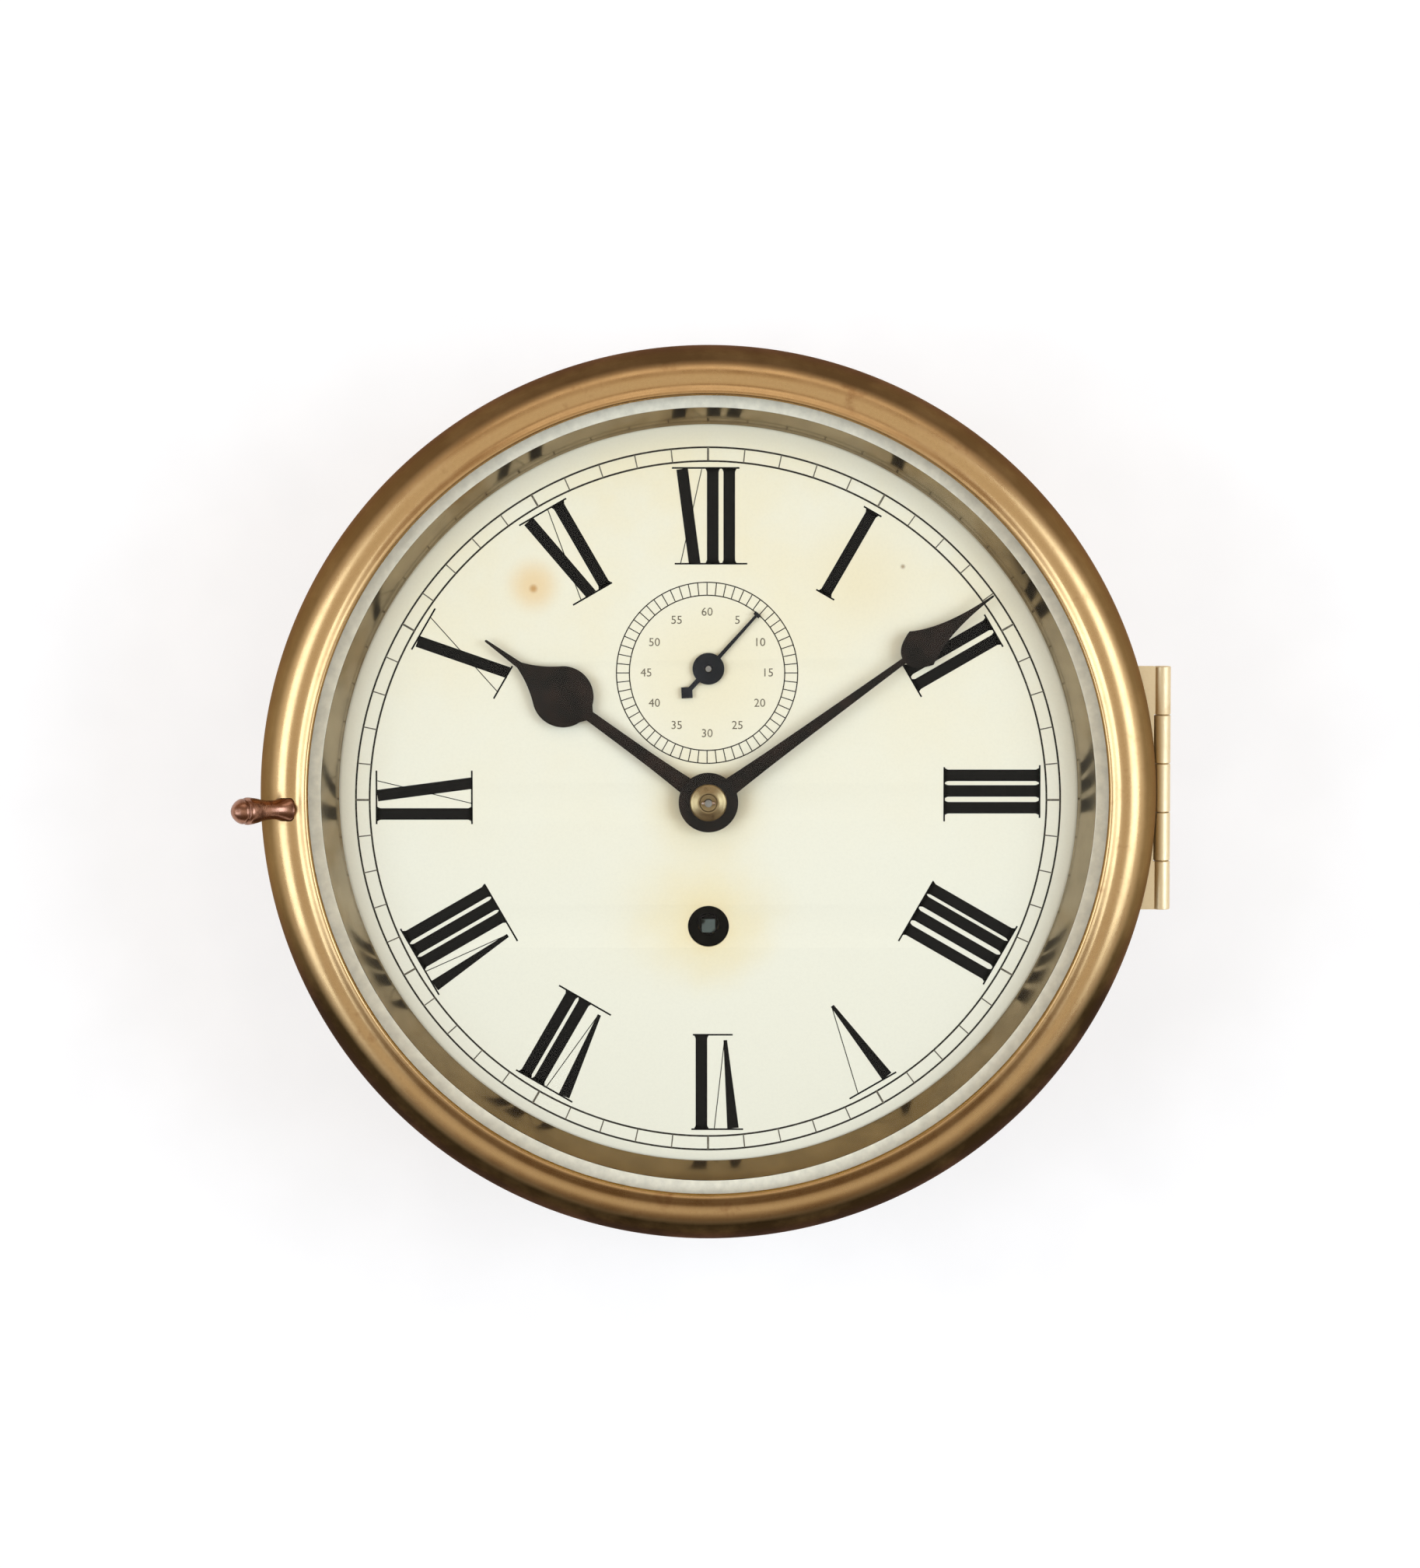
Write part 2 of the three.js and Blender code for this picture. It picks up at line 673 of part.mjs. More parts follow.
function buildPlates() {
  const pivots = [thirdAt, escapeAt, leverAt].map((at) => ({ radius: pivotRadius + runningFit, at }));
  const tenons = cornerPlaces.map((at) => ({ radius: pillarTenonRadius + fixedFit, at }));
  const feet = dialFootPlaces.map((at) => ({ radius: dialFootRadius + fixedFit, at }));
  const back = [
    ...pivots,
    ...tenons,
    { radius: pivotRadius + runningFit, at: centreAt },
    { radius: pivotRadius + runningFit, at: fourthAt },
    { radius: barrelPivotRadius + runningFit, at: barrelAt },
    { radius: arborRadius + 1, at: balanceAt },
  ];
  const front = [
    ...pivots,
    ...tenons,
    ...feet,
    { radius: arborRadius + runningFit, at: centreAt },
    { radius: pivotRadius + runningFit, at: fourthAt },
    { radius: pivotRadius + runningFit, at: balanceAt },
    { radius: barrelPivotRadius + runningFit, at: barrelAt },
    { radius: pivotRadius + fixedFit, at: minuteWheelAt },
    { radius: pivotRadius + fixedFit, at: clickAt() },
    { radius: pivotRadius + fixedFit, at: springScrewAt() },
  ];
  piece(movement, "back_plate", "plateBrass", plate(backPlateBack, backPlateFront, back));
  piece(movement, "front_plate", "plateBrass", plate(frontPlateBack, frontPlateFront, front));

  cornerPlaces.forEach((place, i) => {
    const low = backPlateFront + seat / 3;
    const high = frontPlateBack - seat / 3;
    const profile = [
      [0, backPlateBack],
      [pillarTenonRadius, backPlateBack],
      [pillarTenonRadius, low],
      [pillarRadius, low],
      [pillarRadius, low + pillarShoulder],
      [pillarNeckRadius, low + 2 * pillarShoulder],
      [pillarNeckRadius, high - 2 * pillarShoulder],
      [pillarRadius, high - pillarShoulder],
      [pillarRadius, high],
      [pillarTenonRadius, high],
      [pillarTenonRadius, frontPlateFront + nutHeight],
      [0, frontPlateFront + nutHeight],
    ];
    piece(movement, "pillar_" + (i + 1), "plateBrass", turned(profile, 8, place));
    const nut = rod(nutRadius, frontPlateFront + seat / 3, frontPlateFront + nutHeight, place, 6);
    const threadTop = frontPlateFront + 2 * nutHeight;
    const thread = bore(pillarTenonRadius + fixedFit, frontPlateFront, threadTop, place, 8);
    piece(movement, "pillar_nut_" + (i + 1), "steel", nut.subtract(thread));
  });
}

function buildBarrel() {
  const low = greatLayer;
  const high = greatLayer + barrelHeight;
  const base = low + barrelBaseThickness;
  const hubBore = barrelHubRadius + runningFit;
  const greatShape = toothedOutline(greatTeeth, greatModule, TURN / 4, WHEEL_TOOTH);
  const teeth = raised(greatShape, low, barrelBaseThickness);
  const wall = turned(
    [
      [hubBore, low],
      [barrelRadius, low],
      [barrelRadius, high],
      [barrelRadius - barrelWall, high],
      [barrelRadius - barrelWall, base],
      [hubBore, base],
    ],
    36,
  );
  const hubHole = bore(hubBore, low - 1, base + 1);
  const barrel = teeth.subtract(hubHole).add(wall).translate(...barrelAt, 0);
  piece(movement, "barrel", "plateBrass", barrel);

  const cap = rod(barrelRadius - barrelWall - fixedFit, high - barrelWall, high, barrelAt, 36);
  piece(movement, "barrel_cap", "plateBrass", cap.subtract(bore(hubBore, low, high + 1, barrelAt)));

  const squareEnd = dialBack - motionGap;
  const shaft = turned(
    [
      [0, backPlateBack - seat],
      [barrelPivotRadius, backPlateBack - seat],
      [barrelPivotRadius, backPlateFront + seat],
      [barrelHubRadius, backPlateFront + seat],
      [barrelHubRadius, frontPlateBack - seat],
      [barrelPivotRadius, frontPlateBack - seat],
      [barrelPivotRadius, squareEnd - windingSquareLength],
      [0, squareEnd - windingSquareLength],
    ],
    16,
    barrelAt,
  );
  const half = windingSquare / 2;
  const square = block(
    [barrelAt[0] - half, barrelAt[1] - half, squareEnd - windingSquareLength - 1],
    [barrelAt[0] + half, barrelAt[1] + half, squareEnd],
  );
  piece(movement, "barrel_arbor", "steel", shaft.add(square));

  const inner = barrelHubRadius + mainspringStrip / 2 + seat;
  const outer = barrelRadius - barrelWall - mainspringStrip / 2 - seat;
  const coil = spiral({ inner, outer, turns: mainspringTurns, steps: 12, strip: mainspringStrip });
  const coilLow = base + seat;
  const coilHigh = high - barrelWall - seat;
  const spring = raised(coil, coilLow, coilHigh - coilLow).translate(...barrelAt, 0);
  piece(movement, "mainspring", "steel", spring);

  // The ratchet sits on the winding square in front of the plate, under its click
  const step = TURN / ratchetTeeth;
  const points = [];
  for (let i = 0; i < ratchetTeeth; i++) {
    points.push(polar(ratchetRadius - ratchetToothDepth, i * step));
    points.push(polar(ratchetRadius, i * step + 0.85 * step));
  }
  const ratchetLow = frontPlateFront + seat;
  const ratchet = raised(outline(points), ratchetLow, ratchetThickness)
    .translate(...barrelAt, 0)
    .subtract(bore(barrelPivotRadius + fixedFit, frontPlateFront, dialBack, barrelAt));
  piece(movement, "ratchet_wheel", "steel", ratchet);

  const click = outline([
    [-2.2, -1.6],
    [1.4, -2],
    [2.2, 0],
    [1.6, 1.6],
    [-1, 7],
    [-2.4, 8.6],
    [-2.6, 7.2],
  ]);
  const clickBody = raised(click, ratchetLow, ratchetThickness)
    .translate(...clickAt(), 0)
    .subtract(bore(pivotRadius + runningFit, frontPlateFront, dialBack, clickAt()));
  piece(movement, "click", "steel", clickBody);
  piece(movement, "click_screw", "steel", headedScrew(clickAt(), ratchetLow + ratchetThickness));

  const [sx, sy] = springScrewAt();
  const strip = outline([
    [sx - 1.8, sy - 1.8],
    [sx + 1.8, sy - 1.8],
    [sx + 1.8, sy + 1.6],
    [sx + 0.6, sy + 2.4],
    [sx + 0.3, sy + clickSpringReach],
    [sx - 0.4, sy + clickSpringReach],
    [sx - 0.8, sy + 2.4],
    [sx - 1.8, sy + 1.6],
  ]);
  const clickSpring = raised(strip, ratchetLow, ratchetThickness / 2).subtract(
    bore(pivotRadius + fixedFit, frontPlateFront, dialBack, [sx, sy]),
  );
  piece(movement, "click_spring", "steel", clickSpring);
  const springScrew = headedScrew([sx, sy], ratchetLow + ratchetThickness / 2);
  piece(movement, "click_spring_screw", "steel", springScrew);
}

// The click's nose stands just off the tips of the ratchet's teeth
function clickAt() {
  return [barrelAt[0] + ratchetRadius + clickBeyondRatchet, barrelAt[1] - clickDrop];
}

function springScrewAt() {
  return [clickAt()[0] + springScrewSide, clickAt()[1] - springScrewDrop];
}

// A small screw whose shank goes through the front plate and whose head holds a piece on it
function headedScrew(at, under) {
  const profile = [
    [0, frontPlateBack],
    [pivotRadius, frontPlateBack],
    [pivotRadius, under + fixedFit],
    [pivotRadius * 2, under + fixedFit],
    [pivotRadius * 2, under + 1],
    [0, under + 1],
  ];
  return turned(profile, 10, at);
}

// A flat strip wound in a spiral, as one outline out along one edge and back along the other
function spiral({ inner, outer, turns, steps, strip }) {
  const count = turns * steps;
  const edge = (side) => (_, i) => {
    const radius = inner + ((outer - inner) * i) / count;
    return polar(radius + (side * strip) / 2, (i * TURN) / steps);
  };
  const out = Array.from({ length: count + 1 }, edge(1));
  const back = Array.from({ length: count + 1 }, edge(-1)).reverse();
  return outline([...out, ...back]);
}

// An arbor with its pivots in both plates and a pinion cut on it. It is tip-long in front.
function arbor(at, { leaves, module, phase, pinionLow, tip = frontPlateFront, tipRadius = pivotRadius }) {
  const low = backPlateFront + seat;
  const high = frontPlateBack - seat;
  const profile = [
    [0, backPlateBack],
    [pivotRadius, backPlateBack],
    [pivotRadius, low],
    [arborRadius, low],
    [arborRadius, high],
    [tipRadius, high],
    [tipRadius, tip],
    [0, tip],
  ];
  const shaft = turned(profile, 8);
  const pinion = raised(toothedOutline(leaves, module, phase, PINION_LEAF), pinionLow, pinionLength);
  return shaft.add(pinion).translate(...at, 0);
}

// A crossed-out train wheel on a collet that fits its arbor
function trainWheel(at, { teeth, module, low, phase = 0, arms = 5 }) {
  const root = (teeth * module) / 2 - WHEEL_TOOTH.dedendum * module;
  const shape = crossedOut(toothedOutline(teeth, module, phase, WHEEL_TOOTH), {
    hub: wheelHubRadius,
    rim: root - wheelRimWidth,
    arms,
    armWidth: wheelArmWidth,
  });
  return raised(shape, low, trainWheelThickness)
    .subtract(bore(arborRadius + fixedFit, low - 1, low + 2 * trainWheelThickness, centreAt, 12))
    .translate(...at, 0);
}

function buildTrain() {
  const phases = {};
  phases.centrePinion = meshedPhase(greatTeeth, TURN / 4, barrelAt, centreLeaves, centreAt);
  phases.thirdPinion = meshedPhase(centreTeeth, 0, centreAt, thirdLeaves, thirdAt);
  phases.fourthPinion = meshedPhase(thirdTeeth, 0, thirdAt, fourthLeaves, fourthAt);
  phases.escapePinion = meshedPhase(fourthTeeth, 0, fourthAt, escapeLeaves, escapeAt);

  // The centre arbor is thick through the front plate and steps down inside the cannon pinion
  const inFront = turned(
    [
      [0, frontPlateBack - 1],
      [arborRadius, frontPlateBack - 1],
      [arborRadius, frontPlateFront + seat],
      [centreTipRadius, frontPlateFront + seat],
      [centreTipRadius, colletFront + arborPastCollet],
      [0, colletFront + arborPastCollet],
    ],
    12,
  );
  const centreArbor = arbor(centreAt, {
    leaves: centreLeaves,
    module: greatModule,
    phase: phases.centrePinion,
    pinionLow: greatLayer - 0.6,
  });
  piece(movement, "centre_arbor", "steel", centreArbor.add(inFront).subtract(handPinHole()));
  piece(
    movement,
    "centre_wheel",
    "plateBrass",
    trainWheel(centreAt, { teeth: centreTeeth, module: centreModule, low: centreLayer }),
  );

  piece(
    movement,
    "third_arbor",
    "steel",
    arbor(thirdAt, {
      leaves: thirdLeaves,
      module: centreModule,
      phase: phases.thirdPinion,
      pinionLow: centreLayer - (pinionLength - trainWheelThickness) / 2,
    }),
  );
  piece(
    movement,
    "third_wheel",
    "plateBrass",
    trainWheel(thirdAt, { teeth: thirdTeeth, module: thirdModule, low: thirdLayer }),
  );

  piece(
    movement,
    "fourth_arbor",
    "steel",
    arbor(fourthAt, {
      leaves: fourthLeaves,
      module: thirdModule,
      phase: phases.fourthPinion,
      pinionLow: thirdLayer - (pinionLength - trainWheelThickness) / 2,
      tip: secondsHandBack + handThickness,
    }),
  );
  piece(
    movement,
    "fourth_wheel",
    "plateBrass",
    trainWheel(fourthAt, { teeth: fourthTeeth, module: fourthModule, low: fourthLayer }),
  );

  piece(
    movement,
    "escape_arbor",
    "steel",
    arbor(escapeAt, {
      leaves: escapeLeaves,
      module: fourthModule,
      phase: phases.escapePinion,
      pinionLow: fourthLayer - (pinionLength - trainWheelThickness) / 2,
    }),
  );
}

function buildEscapement() {
  // Club teeth, with one of them on the line of centres so that both pallets face a gap
  const start = degrees(leverBearing);
  const points = [];
  for (let i = 0; i < escapeTeeth; i++) {
    const step = TURN / escapeTeeth;
    const centre = start + i * step;
    points.push(polar(escapeRoot, centre - 0.22 * step));
    points.push(polar(escapeRadius, centre - 0.08 * step));
    points.push(polar(escapeRadius - 0.15, centre + 0.1 * step));
    points.push(polar(escapeRoot, centre + 0.1 * step));
  }
  const shape = crossedOut(outline(points), { hub: 2.6, rim: escapeRoot - 1, arms: 3, armWidth: 1 });
  const wheel = raised(shape, escapeLayer, leverThickness)
    .subtract(bore(arborRadius + fixedFit, 0, frontPlateBack, centreAt, 12))
    .translate(...escapeAt, 0);
  piece(movement, "escape_wheel", "steel", wheel);

  // The lever is drawn pointing up from its pivot to the fork, with the escape wheel below it
  const reach = leverReach * Math.sin(degrees(palletSpan)) + 0.5;
  const pallet = leverReach * (1 - Math.cos(degrees(palletSpan)) ** 2) + 0.2;
  const fork = leverToBalance - rollerRadius - seat;
  const lever = outline([
    [0.6, 2],
    [0.5, fork - 2],
    [1.6, fork - 1.4],
    [1.6, fork],
    [0.7, fork],
    [0.5, fork - 1],
    [-0.5, fork - 1],
    [-0.7, fork],
    [-1.6, fork],
    [-1.6, fork - 1.4],
    [-0.5, fork - 2],
    [-0.6, 2],
    [-2, 1.6],
    [-reach, -pallet + 1],
    [-reach - 0.4, -pallet - 0.4],
    [-reach + 0.6, -pallet - 0.6],
    [-2.2, -0.9],
    [2.2, -0.9],
    [reach - 0.6, -pallet - 0.6],
    [reach + 0.4, -pallet - 0.4],
    [reach, -pallet + 1],
    [2, 1.6],
  ]);
  const leverBody = raised(lever, escapeLayer, leverThickness)
    .subtract(bore(pivotRadius + fixedFit, 0, frontPlateBack, centreAt, 12))
    .rotate([0, 0, leverBearing - 90])
    .translate(...leverAt, 0);
  piece(movement, "pallet_lever", "steel", leverBody);
  const leverArbor = rod(pivotRadius, backPlateBack, frontPlateFront, leverAt, 12);
  piece(movement, "pallet_arbor", "steel", leverArbor);

  const balanceLow = backPlateBack - balanceBehindPlate;
  const pivotTop = balanceLow - staffShoulder;
  const staffLow = pivotTop - staffPivotLength;
  const staff = turned(
    [
      [0, staffLow],
      [pivotRadius, staffLow],
      [pivotRadius, pivotTop],
      [arborRadius, pivotTop],
      [arborRadius, escapeLayer - 0.4],
      [rollerRadius, escapeLayer - 0.4],
      [rollerRadius, escapeLayer + leverThickness],
      [arborRadius, escapeLayer + leverThickness],
      [arborRadius, frontPlateBack - seat],
      [pivotRadius, frontPlateBack - seat],
      [pivotRadius, frontPlateFront],
      [0, frontPlateFront],
    ],
    10,
    balanceAt,
  );
  piece(movement, "balance_staff", "steel", staff);

  const rim = balanceRadius - balanceRim;
  const wheelShape = new THREE.Shape().absarc(0, 0, balanceRadius, 0, TURN);
  crossedOut(wheelShape, { hub: 3, rim, arms: 2, armWidth: 2.2 });
  const balance = raised(wheelShape, balanceLow, balanceThickness, 14)
    .subtract(bore(arborRadius + fixedFit, 0, backPlateBack, centreAt, 12))
    .translate(...balanceAt, 0);
  piece(movement, "balance_wheel", "plateBrass", balance);

  const springOuter = balanceRadius - springInsideRim;
  const coil = spiral({
    inner: arborRadius + springStrip / 2 + seat,
    outer: springOuter,
    turns: springTurns,
    steps: 14,
    strip: springStrip,
  });
  const springLow = balanceLow + balanceThickness + springRise;
  const hairspring = raised(coil, springLow, springHeight).translate(...balanceAt, 0);
  piece(movement, "hairspring", "steel", hairspring);

  // The spring's outer end lies against a stud that hangs from the back plate
  const studPlace = [balanceAt[0] + springOuter + springStrip / 2 + studRadius + fixedFit, balanceAt[1]];
  const stud = rod(studRadius, springLow - seat, backPlateBack - seat / 3, studPlace, 8);
  piece(movement, "hairspring_stud", "steel", stud);

  // The cock stands on the back plate beyond the balance and reaches over its pivot
  const footFrom = balanceRadius + cockFootGap;
  const footTo = footFrom + cockFootLength;
  const armFront = staffLow + cockThickness;
  const foot = block(
    [-footTo, -cockFootWidth / 2, staffLow],
    [-footFrom, cockFootWidth / 2, backPlateBack - seat / 3],
  );
  const arm = block([-footTo, -cockWidth / 2, staffLow], [cockWidth / 2, cockWidth / 2, armFront]);
  const cock = foot
    .add(arm)
    .subtract(bore(pivotRadius + runningFit, staffLow - 1, armFront + 1, centreAt, 12))
    .rotate([0, 0, -90])
    .translate(...balanceAt, 0);
  piece(movement, "balance_cock", "plateBrass", cock);
}

function buildMotionWork() {
  const minuteModule = (2 * (motionDistance - meshSlack)) / (cannonTeeth + minuteWheelTeeth);
  const hourModule = (2 * (motionDistance - meshSlack)) / (minutePinionTeeth + hourWheelTeeth);
  const minutePhase = meshedPhase(cannonTeeth, 0, centreAt, minuteWheelTeeth, minuteWheelAt);
  const hourPhase = meshedPhase(minutePinionTeeth, 0, minuteWheelAt, hourWheelTeeth, centreAt);

  const cannonShape = toothedOutline(cannonTeeth, minuteModule, 0, PINION_LEAF);
  const cannon = raised(cannonShape, cannonLayer, motionWheelThickness)
    .add(rod(cannonPipeRadius, cannonLayer, colletBack, centreAt, 16))
    .subtract(bore(centreTipRadius + fixedFit, cannonLayer - 1, colletBack + 1, centreAt, 12));
  piece(movement, "cannon_pinion", "steel", cannon);

  const minuteShape = toothedOutline(minuteWheelTeeth, minuteModule, minutePhase, WHEEL_TOOTH);
  const minutePinion = toothedOutline(minutePinionTeeth, hourModule, 0, PINION_LEAF);
  const pinionLow = cannonLayer + motionWheelThickness / 2;
  const wheelTop = hourLayer + motionWheelThickness;
  const minuteWheel = raised(minuteShape, cannonLayer, motionWheelThickness)
    .add(raised(minutePinion, pinionLow, wheelTop - pinionLow))
    .subtract(bore(pivotRadius + runningFit, cannonLayer - 1, wheelTop + 1, centreAt, 12))
    .translate(...minuteWheelAt, 0);
  piece(movement, "minute_wheel", "plateBrass", minuteWheel);
  const stud = turned(
    [
      [0, frontPlateBack],
      [pivotRadius, frontPlateBack],
      [pivotRadius, wheelTop + seat / 3],
      [pivotRadius * 2, wheelTop + seat / 3],
      [pivotRadius * 2, wheelTop + studHeadHeight],
      [0, wheelTop + studHeadHeight],
    ],
    12,
    minuteWheelAt,
  );
  piece(movement, "minute_wheel_stud", "steel", stud);

  const pipeTop = hourHandBack + handThickness;
  const hourShape = toothedOutline(hourWheelTeeth, hourModule, hourPhase, WHEEL_TOOTH);
  const hourWheel = raised(hourShape, hourLayer, motionWheelThickness)
    .add(rod(hourPipeRadius, hourLayer, pipeTop, centreAt, 16))
    .subtract(bore(cannonPipeRadius + runningFit, hourLayer - 1, pipeTop + 1, centreAt, 16));
  piece(movement, "hour_wheel", "plateBrass", hourWheel);
}

// Half of a hand's edge, mirrored into a whole outline about its length
function handOutline(rightEdge) {
  const left = rightEdge
    .slice()
    .reverse()
    .filter(([x]) => x > 0)
    .map(([x, y]) => [-x, y]);
  return outline([...rightEdge, ...left]);
}

// Points along the curve from one edge point to the next, bent towards a control point
function bend(from, control, to, steps = 5) {
  const curve = new THREE.QuadraticBezierCurve(
    new THREE.Vector2(...from),
    new THREE.Vector2(...control),
    new THREE.Vector2(...to),
  );
  return curve.getPoints(steps).map(({ x, y }) => [x, y]);
}

function handPinHole() {
  const holeRadius = handPinRadius + fixedFit;
  const hole = new THREE.CylinderGeometry(holeRadius, holeRadius, 4 * centreTipRadius, 8);
  return solid(hole.rotateZ(Math.PI / 2).translate(0, 0, handPinHeight()));
}

function handPinHeight() {
  return colletFront + handPinRise;
}

function buildHands() {
  const minuteNeck = minuteHandLength - minuteHeadLength;
  const minuteWidest = [5.25, minuteNeck + 5.5];
  const minuteEdge = [
    [2.4, 4],
    ...bend([0.75, minuteNeck], [3.7, minuteNeck + 0.6], minuteWidest),
    ...bend(minuteWidest, [0.7, minuteNeck + 13], [0.25, minuteHandLength]).slice(1),
    [0, minuteHandLength + 0.3],
  ];
  const minuteHand = raised(handOutline(minuteEdge), minuteHandBack, handThickness)
    .add(rod(handBossRadius, minuteHandBack, minuteHandBack + handThickness, centreAt, 32))
    .subtract(bore(cannonPipeRadius + fixedFit, minuteHandBack - 1, colletBack, centreAt, 16))
    .rotate([0, 0, -minuteHandAngle]);
  piece(movement, "minute_hand", "blackSteel", minuteHand);

  const lobeRadius = 7.8;
  const lobeAt = hourHandLength - hourTipLength;
  const lobeEdge = [];
  for (let bearing = -68; bearing <= 36; bearing += 13) {
    const [x, y] = polar(lobeRadius, degrees(bearing));
    lobeEdge.push([x, y + lobeAt]);
  }
  const lobeTop = lobeEdge[lobeEdge.length - 1];
  const hourEdge = [
    [2.4, 4],
    [1.2, lobeAt - lobeRadius],
    ...lobeEdge,
    ...bend(lobeTop, [2.6, lobeAt + 8.9], [0.85, lobeAt + 13.8]).slice(1),
    [0.3, hourHandLength],
    [0, hourHandLength + 0.2],
  ];
  const hourHand = raised(handOutline(hourEdge), hourHandBack, handThickness)
    .add(rod(handBossRadius - 1, hourHandBack, hourHandBack + handThickness, centreAt, 32))
    .subtract(bore(hourPipeRadius + fixedFit, hourHandBack - 1, minuteHandBack, centreAt, 16))
    .rotate([0, 0, -hourHandAngle]);
  piece(movement, "hour_hand", "blackSteel", hourHand);

  const tailSquare = 2;
  const secondsEdge = [
    [0.6, -secondsTailLength + 2 * tailSquare],
    [0.6, 0],
    [0.35, secondsHandLength - 1],
    [0.9, secondsHandLength - 0.9],
    [0.9, secondsHandLength],
  ];
  const tail = outline([
    [0, -secondsTailLength],
    [tailSquare, tailSquare - secondsTailLength],
    [0, 2 * tailSquare - secondsTailLength + 0.3],
    [-tailSquare, tailSquare - secondsTailLength],
  ]);
  const secondsBar = [...secondsEdge, ...secondsEdge.slice().reverse().map(([x, y]) => [-x, y])];
  const secondsThickness = handThickness * 0.7;
  const secondsHand = raised(outline(secondsBar), secondsHandBack, secondsThickness)
    .add(raised(tail, secondsHandBack, secondsThickness))
    .add(rod(secondsBossRadius, secondsHandBack, secondsHandBack + secondsThickness, centreAt, 24))
    .subtract(bore(pivotRadius + fixedFit, secondsHandBack - 1, hourHandBack, centreAt, 12))
    .rotate([0, 0, -secondsHandAngle])
    .translate(...fourthAt, 0);
  piece(movement, "seconds_hand", "blackSteel", secondsHand);

  const collet = turned(
    [
      [centreTipRadius + fixedFit, colletBack],
      [colletRadius, colletBack],
      [colletRadius, colletBack + colletHeight / 3],
      [colletRadius - 0.8, colletFront - 0.4],
      [centreTipRadius + 1.2, colletFront],
      [centreTipRadius + fixedFit, colletFront],
    ],
    24,
  );
  piece(movement, "hand_collet", "polishedBrass", collet);

  const pin = new THREE.CylinderGeometry(handPinRadius, handPinRadius, handPinLength, 8);
  piece(movement, "hand_pin", "steel", solid(pin.rotateZ(Math.PI / 2).translate(0, 0, handPinHeight())));
}

clock.rotation.x = Math.PI / 2;
export default clock;
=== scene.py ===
"""Looks for a brass bulkhead clock: turned case, moulded bezel, painted dial, spade hands and movement.

Shapes are written in the clock's own frame in millimetres, with the first axis to the right, the
second up to twelve o'clock and the third out of the wall, and are put into the row frame in metres
when a piece is made.
"""

import json
import logging
import math
from dataclasses import dataclass, field
from enum import Enum
from typing import Iterable, Optional, Sequence, Union

import bmesh
import bpy
import numpy as np
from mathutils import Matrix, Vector

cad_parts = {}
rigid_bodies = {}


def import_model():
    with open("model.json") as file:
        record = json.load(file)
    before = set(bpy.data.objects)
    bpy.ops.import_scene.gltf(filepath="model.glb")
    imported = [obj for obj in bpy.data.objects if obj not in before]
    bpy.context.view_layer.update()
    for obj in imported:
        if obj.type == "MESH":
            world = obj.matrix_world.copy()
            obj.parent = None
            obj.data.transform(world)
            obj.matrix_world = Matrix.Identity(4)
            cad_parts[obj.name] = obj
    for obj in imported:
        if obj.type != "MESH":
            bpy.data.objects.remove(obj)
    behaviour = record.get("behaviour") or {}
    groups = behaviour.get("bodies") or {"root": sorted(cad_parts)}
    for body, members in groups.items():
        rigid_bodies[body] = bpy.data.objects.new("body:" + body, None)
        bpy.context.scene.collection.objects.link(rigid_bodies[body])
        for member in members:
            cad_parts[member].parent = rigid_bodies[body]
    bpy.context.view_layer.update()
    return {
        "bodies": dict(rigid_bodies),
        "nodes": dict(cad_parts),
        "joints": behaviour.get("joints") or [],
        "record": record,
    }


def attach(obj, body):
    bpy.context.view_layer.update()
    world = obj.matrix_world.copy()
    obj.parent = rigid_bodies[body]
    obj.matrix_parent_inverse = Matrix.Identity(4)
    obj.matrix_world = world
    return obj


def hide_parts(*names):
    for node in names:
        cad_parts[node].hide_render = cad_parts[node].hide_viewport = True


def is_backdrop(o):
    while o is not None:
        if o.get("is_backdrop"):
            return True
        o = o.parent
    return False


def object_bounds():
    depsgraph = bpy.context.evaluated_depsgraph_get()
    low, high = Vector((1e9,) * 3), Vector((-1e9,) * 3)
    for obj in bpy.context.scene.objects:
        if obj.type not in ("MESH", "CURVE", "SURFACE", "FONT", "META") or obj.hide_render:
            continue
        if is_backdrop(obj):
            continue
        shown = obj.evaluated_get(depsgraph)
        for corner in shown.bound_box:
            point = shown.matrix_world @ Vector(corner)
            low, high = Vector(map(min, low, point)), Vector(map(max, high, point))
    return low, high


log = logging.getLogger("clock")

MM = 0.001
TURN = 2 * math.pi
PHOTO_SCALE = 0.198  # millimetres on the bezel for one pixel of the photograph
PHOTO_HEIGHT = 2016
MOVEMENT_DROP = 2.0  # centre of the dial and movement below the case axis
FIGURE_SHARE = 0.7  # height of a figure as a share of its font's size

Point = tuple[float, float]
Place = tuple[float, float, float]
Socket = bpy.types.NodeSocket
Inputs = dict[Union[str, int], object]
Stops = Sequence[tuple[float, object]]


class Slot(Enum):
    """The record's material slots; no piece made here takes its finish from them."""

    BRASS = "polished_brass"
    PLATE = "plate_brass"
    REFLECTOR = "reflector_brass"
    COPPERY = "coppery_brass"
    PAINT = "dial_paint"
    STEEL = "steel"
    BLACK = "blued_steel"
    GLASS = "glass"


# Colours and nodes


